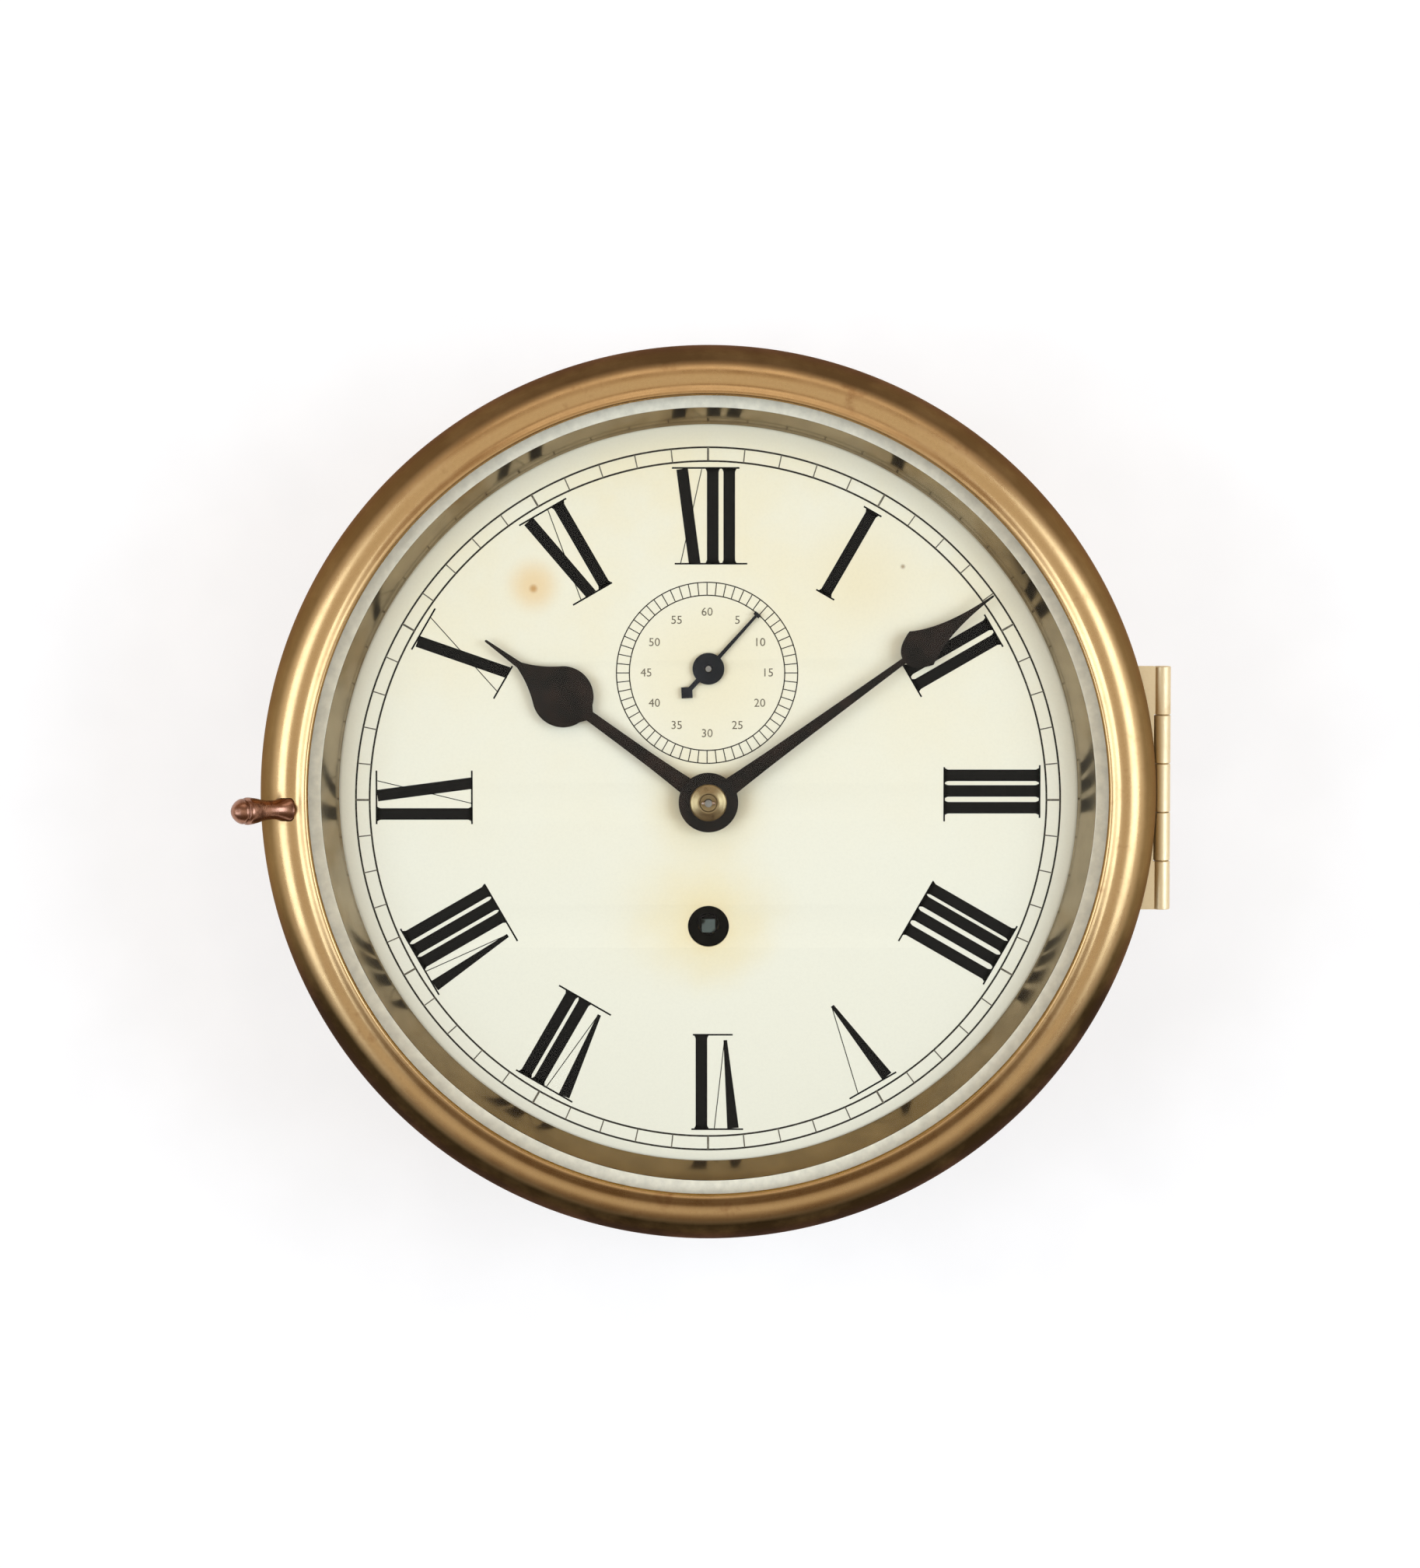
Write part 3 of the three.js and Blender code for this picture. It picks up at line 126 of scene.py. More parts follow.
def linear(code: str) -> tuple[float, float, float, float]:
    """Turns an sRGB hex colour into linear light: c/12.92 up to 0.04045, else ((c+0.055)/1.055)^2.4.

    Args:
        code: Six hex digits after a hash sign.

    Returns:
        Red, green, blue and a full alpha.
    """
    parts = [int(code[i : i + 2], 16) / 255 for i in (1, 3, 5)]
    red, green, blue = (c / 12.92 if c <= 0.04045 else ((c + 0.055) / 1.055) ** 2.4 for c in parts)
    return red, green, blue, 1.0


def pattern(where: Socket, size_mm: float, detail: float, roughness: float = 0.5) -> Inputs:
    """Inputs of a noise whose features are size_mm apart, at a scale of 1000 / size_mm to the metre."""
    return {"Vector": where, "Scale": 1 / (size_mm * MM), "Detail": detail, "Roughness": roughness}


@dataclass(frozen=True)
class Graph:
    """The node tree of a material or of the world."""

    tree: bpy.types.NodeTree

    @classmethod
    def emptied(cls, owner: Union[bpy.types.Material, bpy.types.World]) -> "Graph":
        """Empties the nodes of a material or world.

        Args:
            owner: The material or world.

        Returns:
            Its node tree, with nothing in it.
        """
        owner.use_nodes = True
        owner.node_tree.nodes.clear()
        return cls(owner.node_tree)

    def add(
        self, kind: str, inputs: Union[Inputs, Sequence[object]] = (), stops: Stops = (), **settings: object
    ) -> Sequence[Socket]:
        """Adds one node with its settings, values and links.

        Args:
            kind: The node's type, without its ShaderNode prefix.
            inputs: For each socket, by name, by number or in order, a value, a hex colour or the
                output that feeds it.
            stops: For a ramp, pairs of a position and a hex colour or a grey level, in order.
            **settings: Properties of the node itself.

        Returns:
            The node's outputs.
        """
        node = self.tree.nodes.new("ShaderNode" + kind)
        for name, value in settings.items():
            setattr(node, name, value)
        sockets = inputs if isinstance(inputs, dict) else dict(enumerate(inputs))
        for socket, value in sockets.items():
            if isinstance(value, Socket):
                self.tree.links.new(value, node.inputs[socket])
            else:
                node.inputs[socket].default_value = linear(value) if isinstance(value, str) else value
        for _ in stops[2:]:
            node.color_ramp.elements.new(0.5)
        for element, (position, colour) in zip(node.color_ramp.elements if stops else (), stops):
            element.position = position
            element.color = linear(colour) if isinstance(colour, str) else (colour, colour, colour, 1.0)
        return node.outputs

    def radius_mm(self, where: Socket, centre: Point = (0.0, 0.0)) -> Socket:
        """Distance from an axis out of the wall: 1000 times the length of (x, 0, z) less its centre.

        Args:
            where: Object coordinates, in metres.
            centre: The axis, right and up from the case axis, in millimetres.

        Returns:
            The distance in millimetres.
        """
        middle = (centre[0] * MM, 0.0, centre[1] * MM)
        away = self.add("VectorMath", (where, middle), operation="SUBTRACT")[0]
        flat = self.add("VectorMath", (away, (1 / MM, 0.0, 1 / MM)), operation="MULTIPLY")[0]
        return self.add("VectorMath", (flat,), operation="LENGTH")["Value"]


# Finishes


@dataclass(frozen=True)
class Finish:
    """A finish with its own material, made once and shared by the pieces that have it."""

    name: str

    def material(self) -> bpy.types.Material:
        """Finds the finish's material, or makes it the first time.

        Returns:
            The material.
        """
        found = bpy.data.materials.get(self.name)
        if found is not None:
            return found
        made = bpy.data.materials.new(self.name)
        graph = Graph.emptied(made)
        where = graph.add("TexCoord")["Object"]
        graph.add("OutputMaterial", {"Surface": self.surface(graph, where)})
        return made

    def surface(self, graph: Graph, where: Socket) -> Socket:
        """Builds the shader.

        Args:
            graph: The material's nodes.
            where: Object coordinates, in metres.

        Returns:
            The shader's output.
        """
        raise NotImplementedError


@dataclass(frozen=True)
class Brass(Finish):
    """Yellow brass: a warm metal that goes olive and brown where it isn't rubbed, and can carry painted shade
    on its outer side.
    """

    clean: str = "#D9AA70"
    toned: str = "#8A5A30"
    toning: float = 0.35  # share of the surface that is toned
    roughness: float = 0.2
    blotch_mm: float = 14.0
    pit_mm: float = 0.9
    scratch: float = 0.12
    scratch_depth: float = 0.06
    turning: float = 3.2  # lines of turning on each millimetre of radius
    slant_tone: str = "#FFFFFF"  # what the metal keeps of its reflection at a slant
    rim_from: float = 0.0  # radius where the unpolished outer side with its painted shade begins, 0 for none
    rim_fade: float = 1.2  # half the width of its border
    rim_height: float = 0.114  # metres from the axis to its foot and its top
    rim_shade_reach: float = 1.8  # how much further in the painted shade begins where it is strongest
    rim_shade_places: Stops = ((0.2, 1.0), (0.37, 0.0), (0.63, 0.0), (0.8, 0.45))  # where the painted shade reaches further in, from the foot up
    # tones of the outer side from the foot up: dull patina with painted shade, darkest at the foot
    rim_patina_and_shade_tones: Stops = (
        (0.0, "#3E301B"),
        (0.27, "#3E301B"),
        (0.42, "#8A6E46"),
        (0.58, "#8A6E46"),
        (0.78, "#7A5D38"),
        (1.0, "#634C31"),
    )

    def surface(self, graph: Graph, where: Socket) -> Socket:
        """Builds metal with blotches of tone, fine pits and lines of turning, and a duller rim with painted
        shade.

        Args:
            graph: The material's nodes.
            where: Object coordinates, in metres.

        Returns:
            The shader's output.
        """
        blotches = graph.add("TexNoise", pattern(where, self.blotch_mm, 6.0, 0.62))[0]
        pits = graph.add("TexNoise", pattern(where, self.pit_mm, 3.0, 0.6))[0]
        radius = graph.radius_mm(where)
        along = graph.add("Math", (radius, self.turning), operation="MULTIPLY")[0]
        inputs = {"W": along, "Scale": 1.0, "Detail": 4.0, "Roughness": 0.75}
        lines = graph.add("TexNoise", inputs, noise_dimensions="1D")[0]
        share = graph.add("MapRange", (blotches, 0.72 - self.toning / 2, 0.9 - self.toning / 2))[0]
        colour = graph.add("Mix", {0: share, 6: self.clean, 7: self.toned}, data_type="RGBA")[2]
        pitted = graph.add("Math", (pits, 0.25), operation="MULTIPLY")[0]
        colour = graph.add("Mix", {0: pitted, 6: colour, 7: self.toned}, data_type="RGBA")[2]
        lined = graph.add("Math", (lines, 0.3), operation="MULTIPLY")[0]
        worn = graph.add("Math", (blotches, 0.7, lined), operation="MULTIPLY_ADD")[0]
        rough = graph.add("MapRange", (worn, 0.3, 0.7, self.roughness * 0.7, self.roughness * 1.5))[0]
        metal: object = 1.0
        if self.rim_from > 0:
            side, patina_and_shade = self._rim(graph, where, radius)
            patchy = graph.add("Math", (blotches, 0.5, 0.72), operation="MULTIPLY_ADD")[0]
            uneven = graph.add("Math", (side, patchy), operation="MULTIPLY", use_clamp=True)[0]
            colour = graph.add("Mix", {0: uneven, 6: colour, 7: patina_and_shade}, data_type="RGBA")[2]
            rough = graph.add("Math", (side, 0.25, rough), operation="MULTIPLY_ADD")[0]
            metal = graph.add("Math", (side, -0.15, 1.0), operation="MULTIPLY_ADD")[0]
        height = graph.add("Math", (pits, 0.5, lines), operation="MULTIPLY_ADD")[0]
        depth = self.scratch_depth * MM
        bump = graph.add("Bump", {"Strength": self.scratch, "Distance": depth, "Height": height})[0]
        inputs = {"Base Color": colour, "Roughness": rough, "Metallic": metal, "Normal": bump}
        return graph.add("BsdfPrincipled", {**inputs, "Specular Tint": self.slant_tone})[0]

    def _rim(self, graph: Graph, where: Socket, radius: Socket) -> tuple[Socket, Socket]:
        """Finds the outer side that is left unpolished and painted with shade, darkest at the foot.

        Args:
            graph: The material's nodes.
            where: Object coordinates, in metres.
            radius: Distance from the case axis, in millimetres.

        Returns:
            How far each place is on the outer side, from 0 to 1, and the tone there by its height, patina
            with painted shade.
        """
        up = graph.add("SeparateXYZ", (where,))["Z"]
        level = graph.add("MapRange", (up, -self.rim_height, self.rim_height))[0]
        # Painted shade: the outer side reaches further in and darkens by height, most at the foot
        shade_inset = graph.add("ValToRGB", (level,), self.rim_shade_places)[0]
        reach = graph.add("Math", (shade_inset, self.rim_shade_reach, radius), operation="MULTIPLY_ADD")[0]
        border = (reach, self.rim_from - self.rim_fade, self.rim_from + self.rim_fade)
        side = graph.add("MapRange", border, interpolation_type="SMOOTHSTEP")[0]
        return side, graph.add("ValToRGB", (level,), self.rim_patina_and_shade_tones)[0]


@dataclass(frozen=True)
class Reflector(Finish):
    """Mirror-polished brass on the cone, dulled grey with age, and a pale matt land under the glass whose
    colour is a painted reflection.
    """

    cone: str = "#A3937A"
    cone_below: str = "#8B7350"
    # pale matt colour of the land: a painted reflection of the dial
    land: str = "#F0E8D6"
    land_from: float = 98.52

    def surface(self, graph: Graph, where: Socket) -> Socket:
        """Builds the mirror, browner below, and the land with its painted reflection, which part at one
        radius.

        Args:
            graph: The material's nodes.
            where: Object coordinates, in metres.

        Returns:
            The shader's output.
        """
        grime = graph.add("TexNoise", pattern(where, 9.0, 7.0, 0.68))[0]
        streaks = graph.add("TexNoise", pattern(where, 2.2, 4.0))[0]
        tarnish = graph.add("TexNoise", pattern(where, 22.0, 3.0))[0]
        patches = graph.add("ValToRGB", (tarnish,), ((0.5, 0.0), (0.62, 0.55)))[0]
        up = graph.add("SeparateXYZ", (where,))["Z"]
        below = graph.add("MapRange", (up, -0.03, -0.085))[0]
        browned = graph.add("Math", (below, patches), operation="ADD", use_clamp=True)[0]
        tone = graph.add("Mix", {0: browned, 6: self.cone, 7: self.cone_below}, data_type="RGBA")[2]
        worn = graph.add("ValToRGB", (grime,), ((0.35, 0.72), (0.7, 1.0)))[0]
        tone = graph.add("Mix", {0: 1.0, 6: tone, 7: worn}, data_type="RGBA", blend_type="MULTIPLY")[2]
        rough = graph.add("Math", (streaks, 0.08, 0.07), operation="MULTIPLY_ADD")[0]
        inputs = {"Base Color": tone, "Metallic": 1.0, "Roughness": rough}
        cone = graph.add("BsdfPrincipled", inputs)[0]
        # The land is matt pale paint, a painted reflection of the dial in place of a mirror
        dull = graph.add("ValToRGB", (streaks,), ((0.3, 0.82), (0.7, 1.0)))[0]
        pale = graph.add("Mix", {0: 1.0, 6: self.land, 7: dull}, data_type="RGBA", blend_type="MULTIPLY")[2]
        land = graph.add("BsdfPrincipled", {"Base Color": pale, "Roughness": 0.42})[0]
        outside = (graph.radius_mm(where), self.land_from)
        side = graph.add("Math", outside, operation="GREATER_THAN")[0]
        return graph.add("MixShader", (side, cone, land))[0]


@dataclass(frozen=True)
class Stain:
    """A warm mark in old paint: its centre and reach in millimetres, its strength and its tone."""

    right: float
    up: float
    reach: float
    strength: float
    tone: str


@dataclass(frozen=True)
class AgedPaint(Finish):
    """Cream enamel paint on brass, yellowed round its holes and in its upper half, greyer at the rim with
    painted shade from the ring.
    """

    ground: str = "#F3EDDB"
    warm: str = "#F4E4BE"
    # painted shade: the grey that the paint takes towards its rim, under the reflector ring
    rim: str = "#DDD4BF"
    rim_from: float = 89.0
    rim_full: float = 95.0
    stains: tuple[Stain, ...] = ()

    def surface(self, graph: Graph, where: Socket) -> Socket:
        """Builds the paint from its ground, its warm upper half, its stains, its rim of painted shade and a
        faint grain.

        Args:
            graph: The material's nodes.
            where: Object coordinates, in metres.

        Returns:
            The shader's output.
        """
        clouds = graph.add("TexNoise", pattern(where, 45.0, 5.0, 0.6))[0]
        grain = graph.add("TexNoise", pattern(where, 0.7, 2.0))[0]
        up = graph.add("SeparateXYZ", (where,))["Z"]
        height = graph.add("MapRange", (up, -0.03, 0.075))[0]
        cloudy = graph.add("ValToRGB", (clouds,), ((0.35, 0.1), (0.65, 0.75)))[0]
        warmth = graph.add("Math", (height, cloudy), operation="MULTIPLY")[0]
        colour = graph.add("Mix", {0: warmth, 6: self.ground, 7: self.warm}, data_type="RGBA")[2]
        drift = graph.add("Math", (clouds, 0.5), operation="SUBTRACT")[0]
        for stain in self.stains:
            far = graph.radius_mm(where, (stain.right, stain.up))
            ragged = graph.add("Math", (drift, stain.reach, far), operation="MULTIPLY_ADD")[0]
            fading = (ragged, stain.reach, 0.0, 0.0, stain.strength)
            share = graph.add("MapRange", fading, interpolation_type="SMOOTHERSTEP")[0]
            colour = graph.add("Mix", {0: share, 6: colour, 7: stain.tone}, data_type="RGBA")[2]
        # Painted shade: greyer towards the rim, where the ring and bezel shade the dial
        radius = graph.radius_mm(where, (0.0, -MOVEMENT_DROP))
        edge = graph.add("MapRange", (radius, self.rim_from, self.rim_full, 0.0, 0.7))[0]
        colour = graph.add("Mix", {0: edge, 6: colour, 7: self.rim}, data_type="RGBA")[2]
        fine = graph.add("ValToRGB", (grain,), ((0.3, 0.96), (0.6, 1.0)))[0]
        colour = graph.add("Mix", {0: 0.5, 6: colour, 7: fine}, data_type="RGBA", blend_type="MULTIPLY")[2]
        bump = graph.add("Bump", {"Strength": 0.06, "Distance": 0.05 * MM, "Height": grain})[0]
        rough = graph.add("Math", (clouds, 0.15, 0.42), operation="MULTIPLY_ADD")[0]
        inputs = {"Base Color": colour, "Roughness": rough, "Normal": bump}
        return graph.add("BsdfPrincipled", {**inputs, "Coat Weight": 0.08, "Coat Roughness": 0.3})[0]


@dataclass(frozen=True)
class PrintedInk(Finish):
    """Black printing paint, thin in places, so the ground shows through a little."""

    ink: str = "#060505"
    thin: str = "#0C0A09"

    def surface(self, graph: Graph, where: Socket) -> Socket:
        """Builds matt ink with specks of thinner print.

        Args:
            graph: The material's nodes.
            where: Object coordinates, in metres.

        Returns:
            The shader's output.
        """
        specks = graph.add("TexNoise", pattern(where, 0.8, 3.0))[0]
        share = graph.add("ValToRGB", (specks,), ((0.45, 0.0), (0.75, 1.0)))[0]
        colour = graph.add("Mix", {0: share, 6: self.ink, 7: self.thin}, data_type="RGBA")[2]
        rough = graph.add("Math", (specks, 0.2, 0.4), operation="MULTIPLY_ADD")[0]
        inputs = {"Base Color": colour, "Roughness": rough, "Specular IOR Level": 0.08}
        return graph.add("BsdfPrincipled", inputs)[0]


@dataclass(frozen=True)
class Steel(Finish):
    """Ground steel, steel blued by heat, or steel darkened nearly black as painted shade: a grey metal with
    fine lines along its length.
    """

    bare: str = "#9A9A9C"
    stained: str = "#6E6A66"
    roughness: float = 0.3

    def surface(self, graph: Graph, where: Socket) -> Socket:
        """Builds metal with fine grinding marks and slight staining.

        Args:
            graph: The material's nodes.
            where: Object coordinates, in metres.

        Returns:
            The shader's output.
        """
        marks = graph.add("TexNoise", pattern(where, 1.0, 5.0, 0.7))[0]
        stains = graph.add("TexNoise", pattern(where, 6.0, 5.0, 0.6))[0]
        share = graph.add("ValToRGB", (stains,), ((0.45, 0.0), (0.7, 1.0)))[0]
        colour = graph.add("Mix", {0: share, 6: self.bare, 7: self.stained}, data_type="RGBA")[2]
        span = (marks, self.roughness * 0.5, self.roughness * 0.75)
        rough = graph.add("Math", span, operation="MULTIPLY_ADD")[0]
        bump = graph.add("Bump", {"Strength": 0.1, "Distance": 0.03 * MM, "Height": marks})[0]
        inputs = {"Base Color": colour, "Metallic": 1.0, "Roughness": rough, "Normal": bump}
        return graph.add("BsdfPrincipled", inputs)[0]


@dataclass(frozen=True)
class ArborWithPaintedGlint(Finish):
    """A steel arbor, dark with old oil and painted shade, but for the end that the key rubs bright, whose
    bright patches are partly a painted glint.
    """

    oiled_and_shade: str = "#191816"
    rubbed_and_glint: str = "#5F6A6A"
    rubbed_from: float = 55.0  # height in front of the wall, in millimetres

    def surface(self, graph: Graph, where: Socket) -> Socket:
        """Builds the two tones, which part at one height, with a patchy bright end that is partly a painted
        glint.

        Args:
            graph: The material's nodes.
            where: Object coordinates, in metres.

        Returns:
            The shader's output.
        """
        along = graph.add("SeparateXYZ", (where,))["Y"]
        end = graph.add("Math", (along, -self.rubbed_from * MM), operation="LESS_THAN")[0]
        # Painted glint: bright patches at the end, partly real rubbing; the dark tone is partly painted shade
        # in the hole
        wear_and_glint = graph.add("TexNoise", pattern(where, 2.4, 3.0))[0]
        patches = graph.add("ValToRGB", (wear_and_glint,), ((0.44, 0.1), (0.54, 1.0)))[0]
        share = graph.add("Math", (end, patches), operation="MULTIPLY")[0]
        colour = graph.add("Mix", {0: share, 6: self.oiled_and_shade, 7: self.rubbed_and_glint}, data_type="RGBA")[2]
        rough = graph.add("Math", (wear_and_glint, 0.2, 0.3), operation="MULTIPLY_ADD")[0]
        inputs = {"Base Color": colour, "Metallic": 1.0, "Roughness": rough}
        return graph.add("BsdfPrincipled", inputs)[0]


@dataclass(frozen=True)
class BlackLacquer(Finish):
    """Steel hands under old black lacquer: brown-black, with a soft sheen and brown where it is thin."""

    black: str = "#100C0A"
    brown: str = "#261A15"

    def surface(self, graph: Graph, where: Socket) -> Socket:
        """Builds the lacquer with cloudy brown patches and a slightly uneven film.

        Args:
            graph: The material's nodes.
            where: Object coordinates, in metres.

        Returns:
            The shader's output.
        """
        clouds = graph.add("TexNoise", pattern(where, 7.0, 5.0, 0.6))[0]
        film = graph.add("TexNoise", pattern(where, 1.2, 3.0))[0]
        share = graph.add("ValToRGB", (clouds,), ((0.42, 0.0), (0.68, 1.0)))[0]
        colour = graph.add("Mix", {0: share, 6: self.black, 7: self.brown}, data_type="RGBA")[2]
        rough = graph.add("Math", (film, 0.2, 0.28), operation="MULTIPLY_ADD")[0]
        bump = graph.add("Bump", {"Strength": 0.03, "Distance": 0.04 * MM, "Height": film})[0]
        inputs = {"Base Color": colour, "Roughness": rough, "Normal": bump, "Specular IOR Level": 0.14}
        return graph.add("BsdfPrincipled", inputs)[0]


@dataclass(frozen=True)
class FlatGlass(Finish):
    """Clear sheet glass: nearly nothing to see face on, and a reflection at a slant."""

    tint: str = "#FEFFFE"

    def surface(self, graph: Graph, where: Socket) -> Socket:
        """Builds a sheet that reflects 0.006 + 0.9 (1 - cos a)^5 of the light, with a trace of dust.

        Args:
            graph: The material's nodes.
            where: Object coordinates, in metres.

        Returns:
            The shader's output.
        """
        dust = graph.add("TexNoise", pattern(where, 5.0, 8.0))[0]
        clear = graph.add("BsdfTransparent", {"Color": self.tint})[0]
        rough = graph.add("Math", (dust, 0.04), operation="MULTIPLY")[0]
        inputs = {"Base Color": self.tint, "Metallic": 1.0, "Roughness": rough}
        shine = graph.add("BsdfPrincipled", inputs)[0]
        slant = graph.add("LayerWeight", {"Blend": 0.5})["Facing"]
        steep = graph.add("Math", (slant, 5.0), operation="POWER")[0]
        share = graph.add("Math", (steep, 0.9, 0.006), operation="MULTIPLY_ADD")[0]
        share = graph.add("Math", (dust, 0.002, share), operation="MULTIPLY_ADD")[0]
        return graph.add("MixShader", (share, clear, shine))[0]


# Spun brass: bright on its roll, where it is rubbed, and brown on its outer side, partly dull patina and
# partly painted shade, darkest at the foot
BEZEL_BRASS = Brass(
    "bezel_spun_brass",
    clean="#C6A676",
    toning=0.25,
    roughness=0.26,
    scratch=0.03,
    slant_tone="#A88658",
    rim_from=110.4,
)
# Spun brass that is seldom touched: dull and blotched
CASE_BRASS = Brass(
    "drum_spun_brass", clean="#B08C58", toned="#8A6A3C", toning=0.45, roughness=0.34, blotch_mm=24.0
)
# Drawn brass: pale and satin
HINGE_BRASS = Brass(
    "hinge_drawn_brass", clean="#E6D3AC", toned="#C9A873", toning=0.2, roughness=0.45, scratch=0.04
)
# Turned brass: small and dull, darker in its hollow
COLLET_BRASS = Brass(
    "collet_turned_brass", clean="#A08A64", toned="#66523C", toning=0.3, roughness=0.32, blotch_mm=6.0
)
# Rolled brass, filed flat: still yellow, inside the case
PLATE_BRASS = Brass("movement_plate_brass", clean="#CDA765", toned="#9A7438", toning=0.3, roughness=0.3)
# Turned brass, worn by fingers: a coppery pink with dark marks
KNOB_BRASS = Brass(
    "knob_handled_brass",
    clean="#A97C66",
    toned="#593828",
    toning=0.45,
    roughness=0.24,
    blotch_mm=4.0,
    scratch=0.05,
)
# Spun brass, burnished: a mirror under grey tarnish, with a land painted pale as a reflection
REFLECTOR_BRASS = Reflector("reflector_mirror_brass")
# Ground steel: a plain grey shine
BARE_STEEL = Steel("ground_steel")
# Steel blued by heat: a dark blue shine
BLUED_STEEL = Steel("heat_blued_steel", bare="#2A3450", stained="#1B2034", roughness=0.25)
# Steel darkened nearly black as painted shade inside the winding hole: nearly no shine
SHADE_DARK_STEEL = Steel("shade_dark_click_steel", bare="#161412", stained="#0D0C0B", roughness=0.5)
# Ground steel: dark with oil and painted shade, bright where the key sits, partly as a painted glint
WINDING_STEEL = ArborWithPaintedGlint("winding_arbor_steel")
# Drawn steel wire: bright, with a warm stain
PIN_STEEL = Steel("taper_pin_steel", bare="#C9B4A6", stained="#8D7468", roughness=0.22)
# Lacquered steel: brown-black with a soft sheen
HAND_LACQUER = BlackLacquer("hand_black_lacquer")
# The same lacquer on the thin hand: a colder black
SECONDS_LACQUER = BlackLacquer("seconds_hand_lacquer", black="#14161B", brown="#23242A")
# Printed paint: a deep matt black
NUMERAL_INK = PrintedInk("numeral_ink")
# The same paint in fine lines, which look greyer
TRACK_INK = PrintedInk("track_ink", ink="#26221D", thin="#4A443B")
# The faintest lines of the minute track
MINUTE_INK = PrintedInk("minute_division_ink", ink="#5F584C", thin="#857D6E")
# The small figures, printed thinly
SECONDS_INK = PrintedInk("seconds_figure_ink", ink="#6D6353", thin="#8F8673")
# Flat sheet glass: seen only by what it mirrors
CLEAR_GLASS = FlatGlass("clear_flat_glass")


# Surfaces


@dataclass
class Shell:
    """A closed surface: points in millimetres in the clock's frame, and faces as tuples of point numbers."""

    points: np.ndarray
    faces: list[tuple[int, ...]]

    def moved(self, right: float = 0.0, up: float = 0.0, out: float = 0.0) -> "Shell":
        """Returns the shell shifted by these millimetres."""
        return Shell(self.points + np.array((right, up, out)), self.faces)

    def clockwise(self, turn: float) -> "Shell":
        """Returns the shell turned clockwise about the axis out of the wall.

        Args:
            turn: The angle in degrees; (x, y) becomes (x cos t + y sin t, y cos t - x sin t).

        Returns:
            The turned shell.
        """
        angle = math.radians(turn)
        right, up, out = self.points.T
        cos, sin = math.cos(angle), math.sin(angle)
        return Shell(np.column_stack((right * cos + up * sin, up * cos - right * sin, out)), self.faces)


def together(shells: Iterable[Shell]) -> Shell:
    """Joins shells into one, each closed on its own.

    Args:
        shells: The shells.

    Returns:
        One shell with all their faces.
    """
    parts = list(shells)
    starts = np.cumsum([0] + [len(part.points) for part in parts[:-1]])
    faces = [tuple(i + int(start) for i in face) for part, start in zip(parts, starts) for face in part.faces]
    return Shell(np.concatenate([part.points for part in parts]), faces)


def grid_faces(rows: int, columns: int, wrap_rows: bool, wrap_columns: bool) -> list[tuple[int, ...]]:
    """Faces of a grid of points: each joins (i, j), (i+1, j), (i+1, j+1) and (i, j+1).

    Args:
        rows: Points along the first parameter.
        columns: Points along the second.
        wrap_rows: Whether the last row joins the first.
        wrap_columns: Whether the last column joins the first.

    Returns:
        One tuple of four for each face.
    """
    across = rows if wrap_rows else rows - 1
    along = columns if wrap_columns else columns - 1
    i, j = np.meshgrid(np.arange(across), np.arange(along), indexing="ij")
    after_i, after_j = (i + 1) % rows, (j + 1) % columns
    corners = (i * columns + j, after_i * columns + j, after_i * columns + after_j, i * columns + after_j)
    return [tuple(face) for face in np.stack(corners, axis=-1).reshape(-1, 4).tolist()]


def through(points: Sequence[Point], steps: int = 6) -> np.ndarray:
    """A smooth line through points by the Catmull-Rom formula, with the end points used twice.

    Between p1 and p2 the place at t is half of 2 p1 + (p2 - p0) t + (2 p0 - 5 p1 + 4 p2 - p3) t^2
    + (3 p1 - p0 - 3 p2 + p3) t^3.

    Args:
        points: The points on the line.
        steps: Parts that each span is cut into.

    Returns:
        An array of points.
    """
    known = np.array(points, float)
    ends = np.concatenate((known[:1], known, known[-1:]))
    p0, p1, p2, p3 = (ends[k : len(ends) - 3 + k, None, :] for k in range(4))
    t = (np.arange(steps) / steps)[None, :, None]
    line = 0.5 * (
        2 * p1 + (p2 - p0) * t + (2 * p0 - 5 * p1 + 4 * p2 - p3) * t**2 + (3 * p1 - p0 - 3 * p2 + p3) * t**3
    )
    return np.concatenate((line.reshape(-1, 2), known[-1:]))


def bent(start: Point, control: Point, end: Point, steps: int = 16) -> np.ndarray:
    """A curve from start to end pulled to a control point: (1-t)^2 start + 2 t (1-t) control + t^2 end."""
    t = np.linspace(0, 1, steps)[:, None]
    return (1 - t) ** 2 * np.array(start) + 2 * t * (1 - t) * np.array(control) + t**2 * np.array(end)


def lathe(profile: np.ndarray, count: int = 192, centre: Point = (0.0, 0.0)) -> Shell:
    """A profile carried round an axis out of the wall: point (i, j) is (r_j cos a_i, r_j sin a_i, h_j).

    Args:
        profile: Radius and height of each point. It closes on itself unless it starts on the axis.
        count: Places round the axis.
        centre: The axis, right and up.

    Returns:
        The turned surface.
    """
    profile = np.asarray(profile, float)
    angle = np.arange(count)[:, None] * (TURN / count)
    radius, height = profile.T
    right = centre[0] + radius * np.cos(angle)
    up = centre[1] + radius * np.sin(angle)
    points = np.stack((right, up, np.broadcast_to(height, right.shape)), axis=-1).reshape(-1, 3)
    return Shell(points, grid_faces(count, len(profile), True, profile[0, 0] > 1e-6))


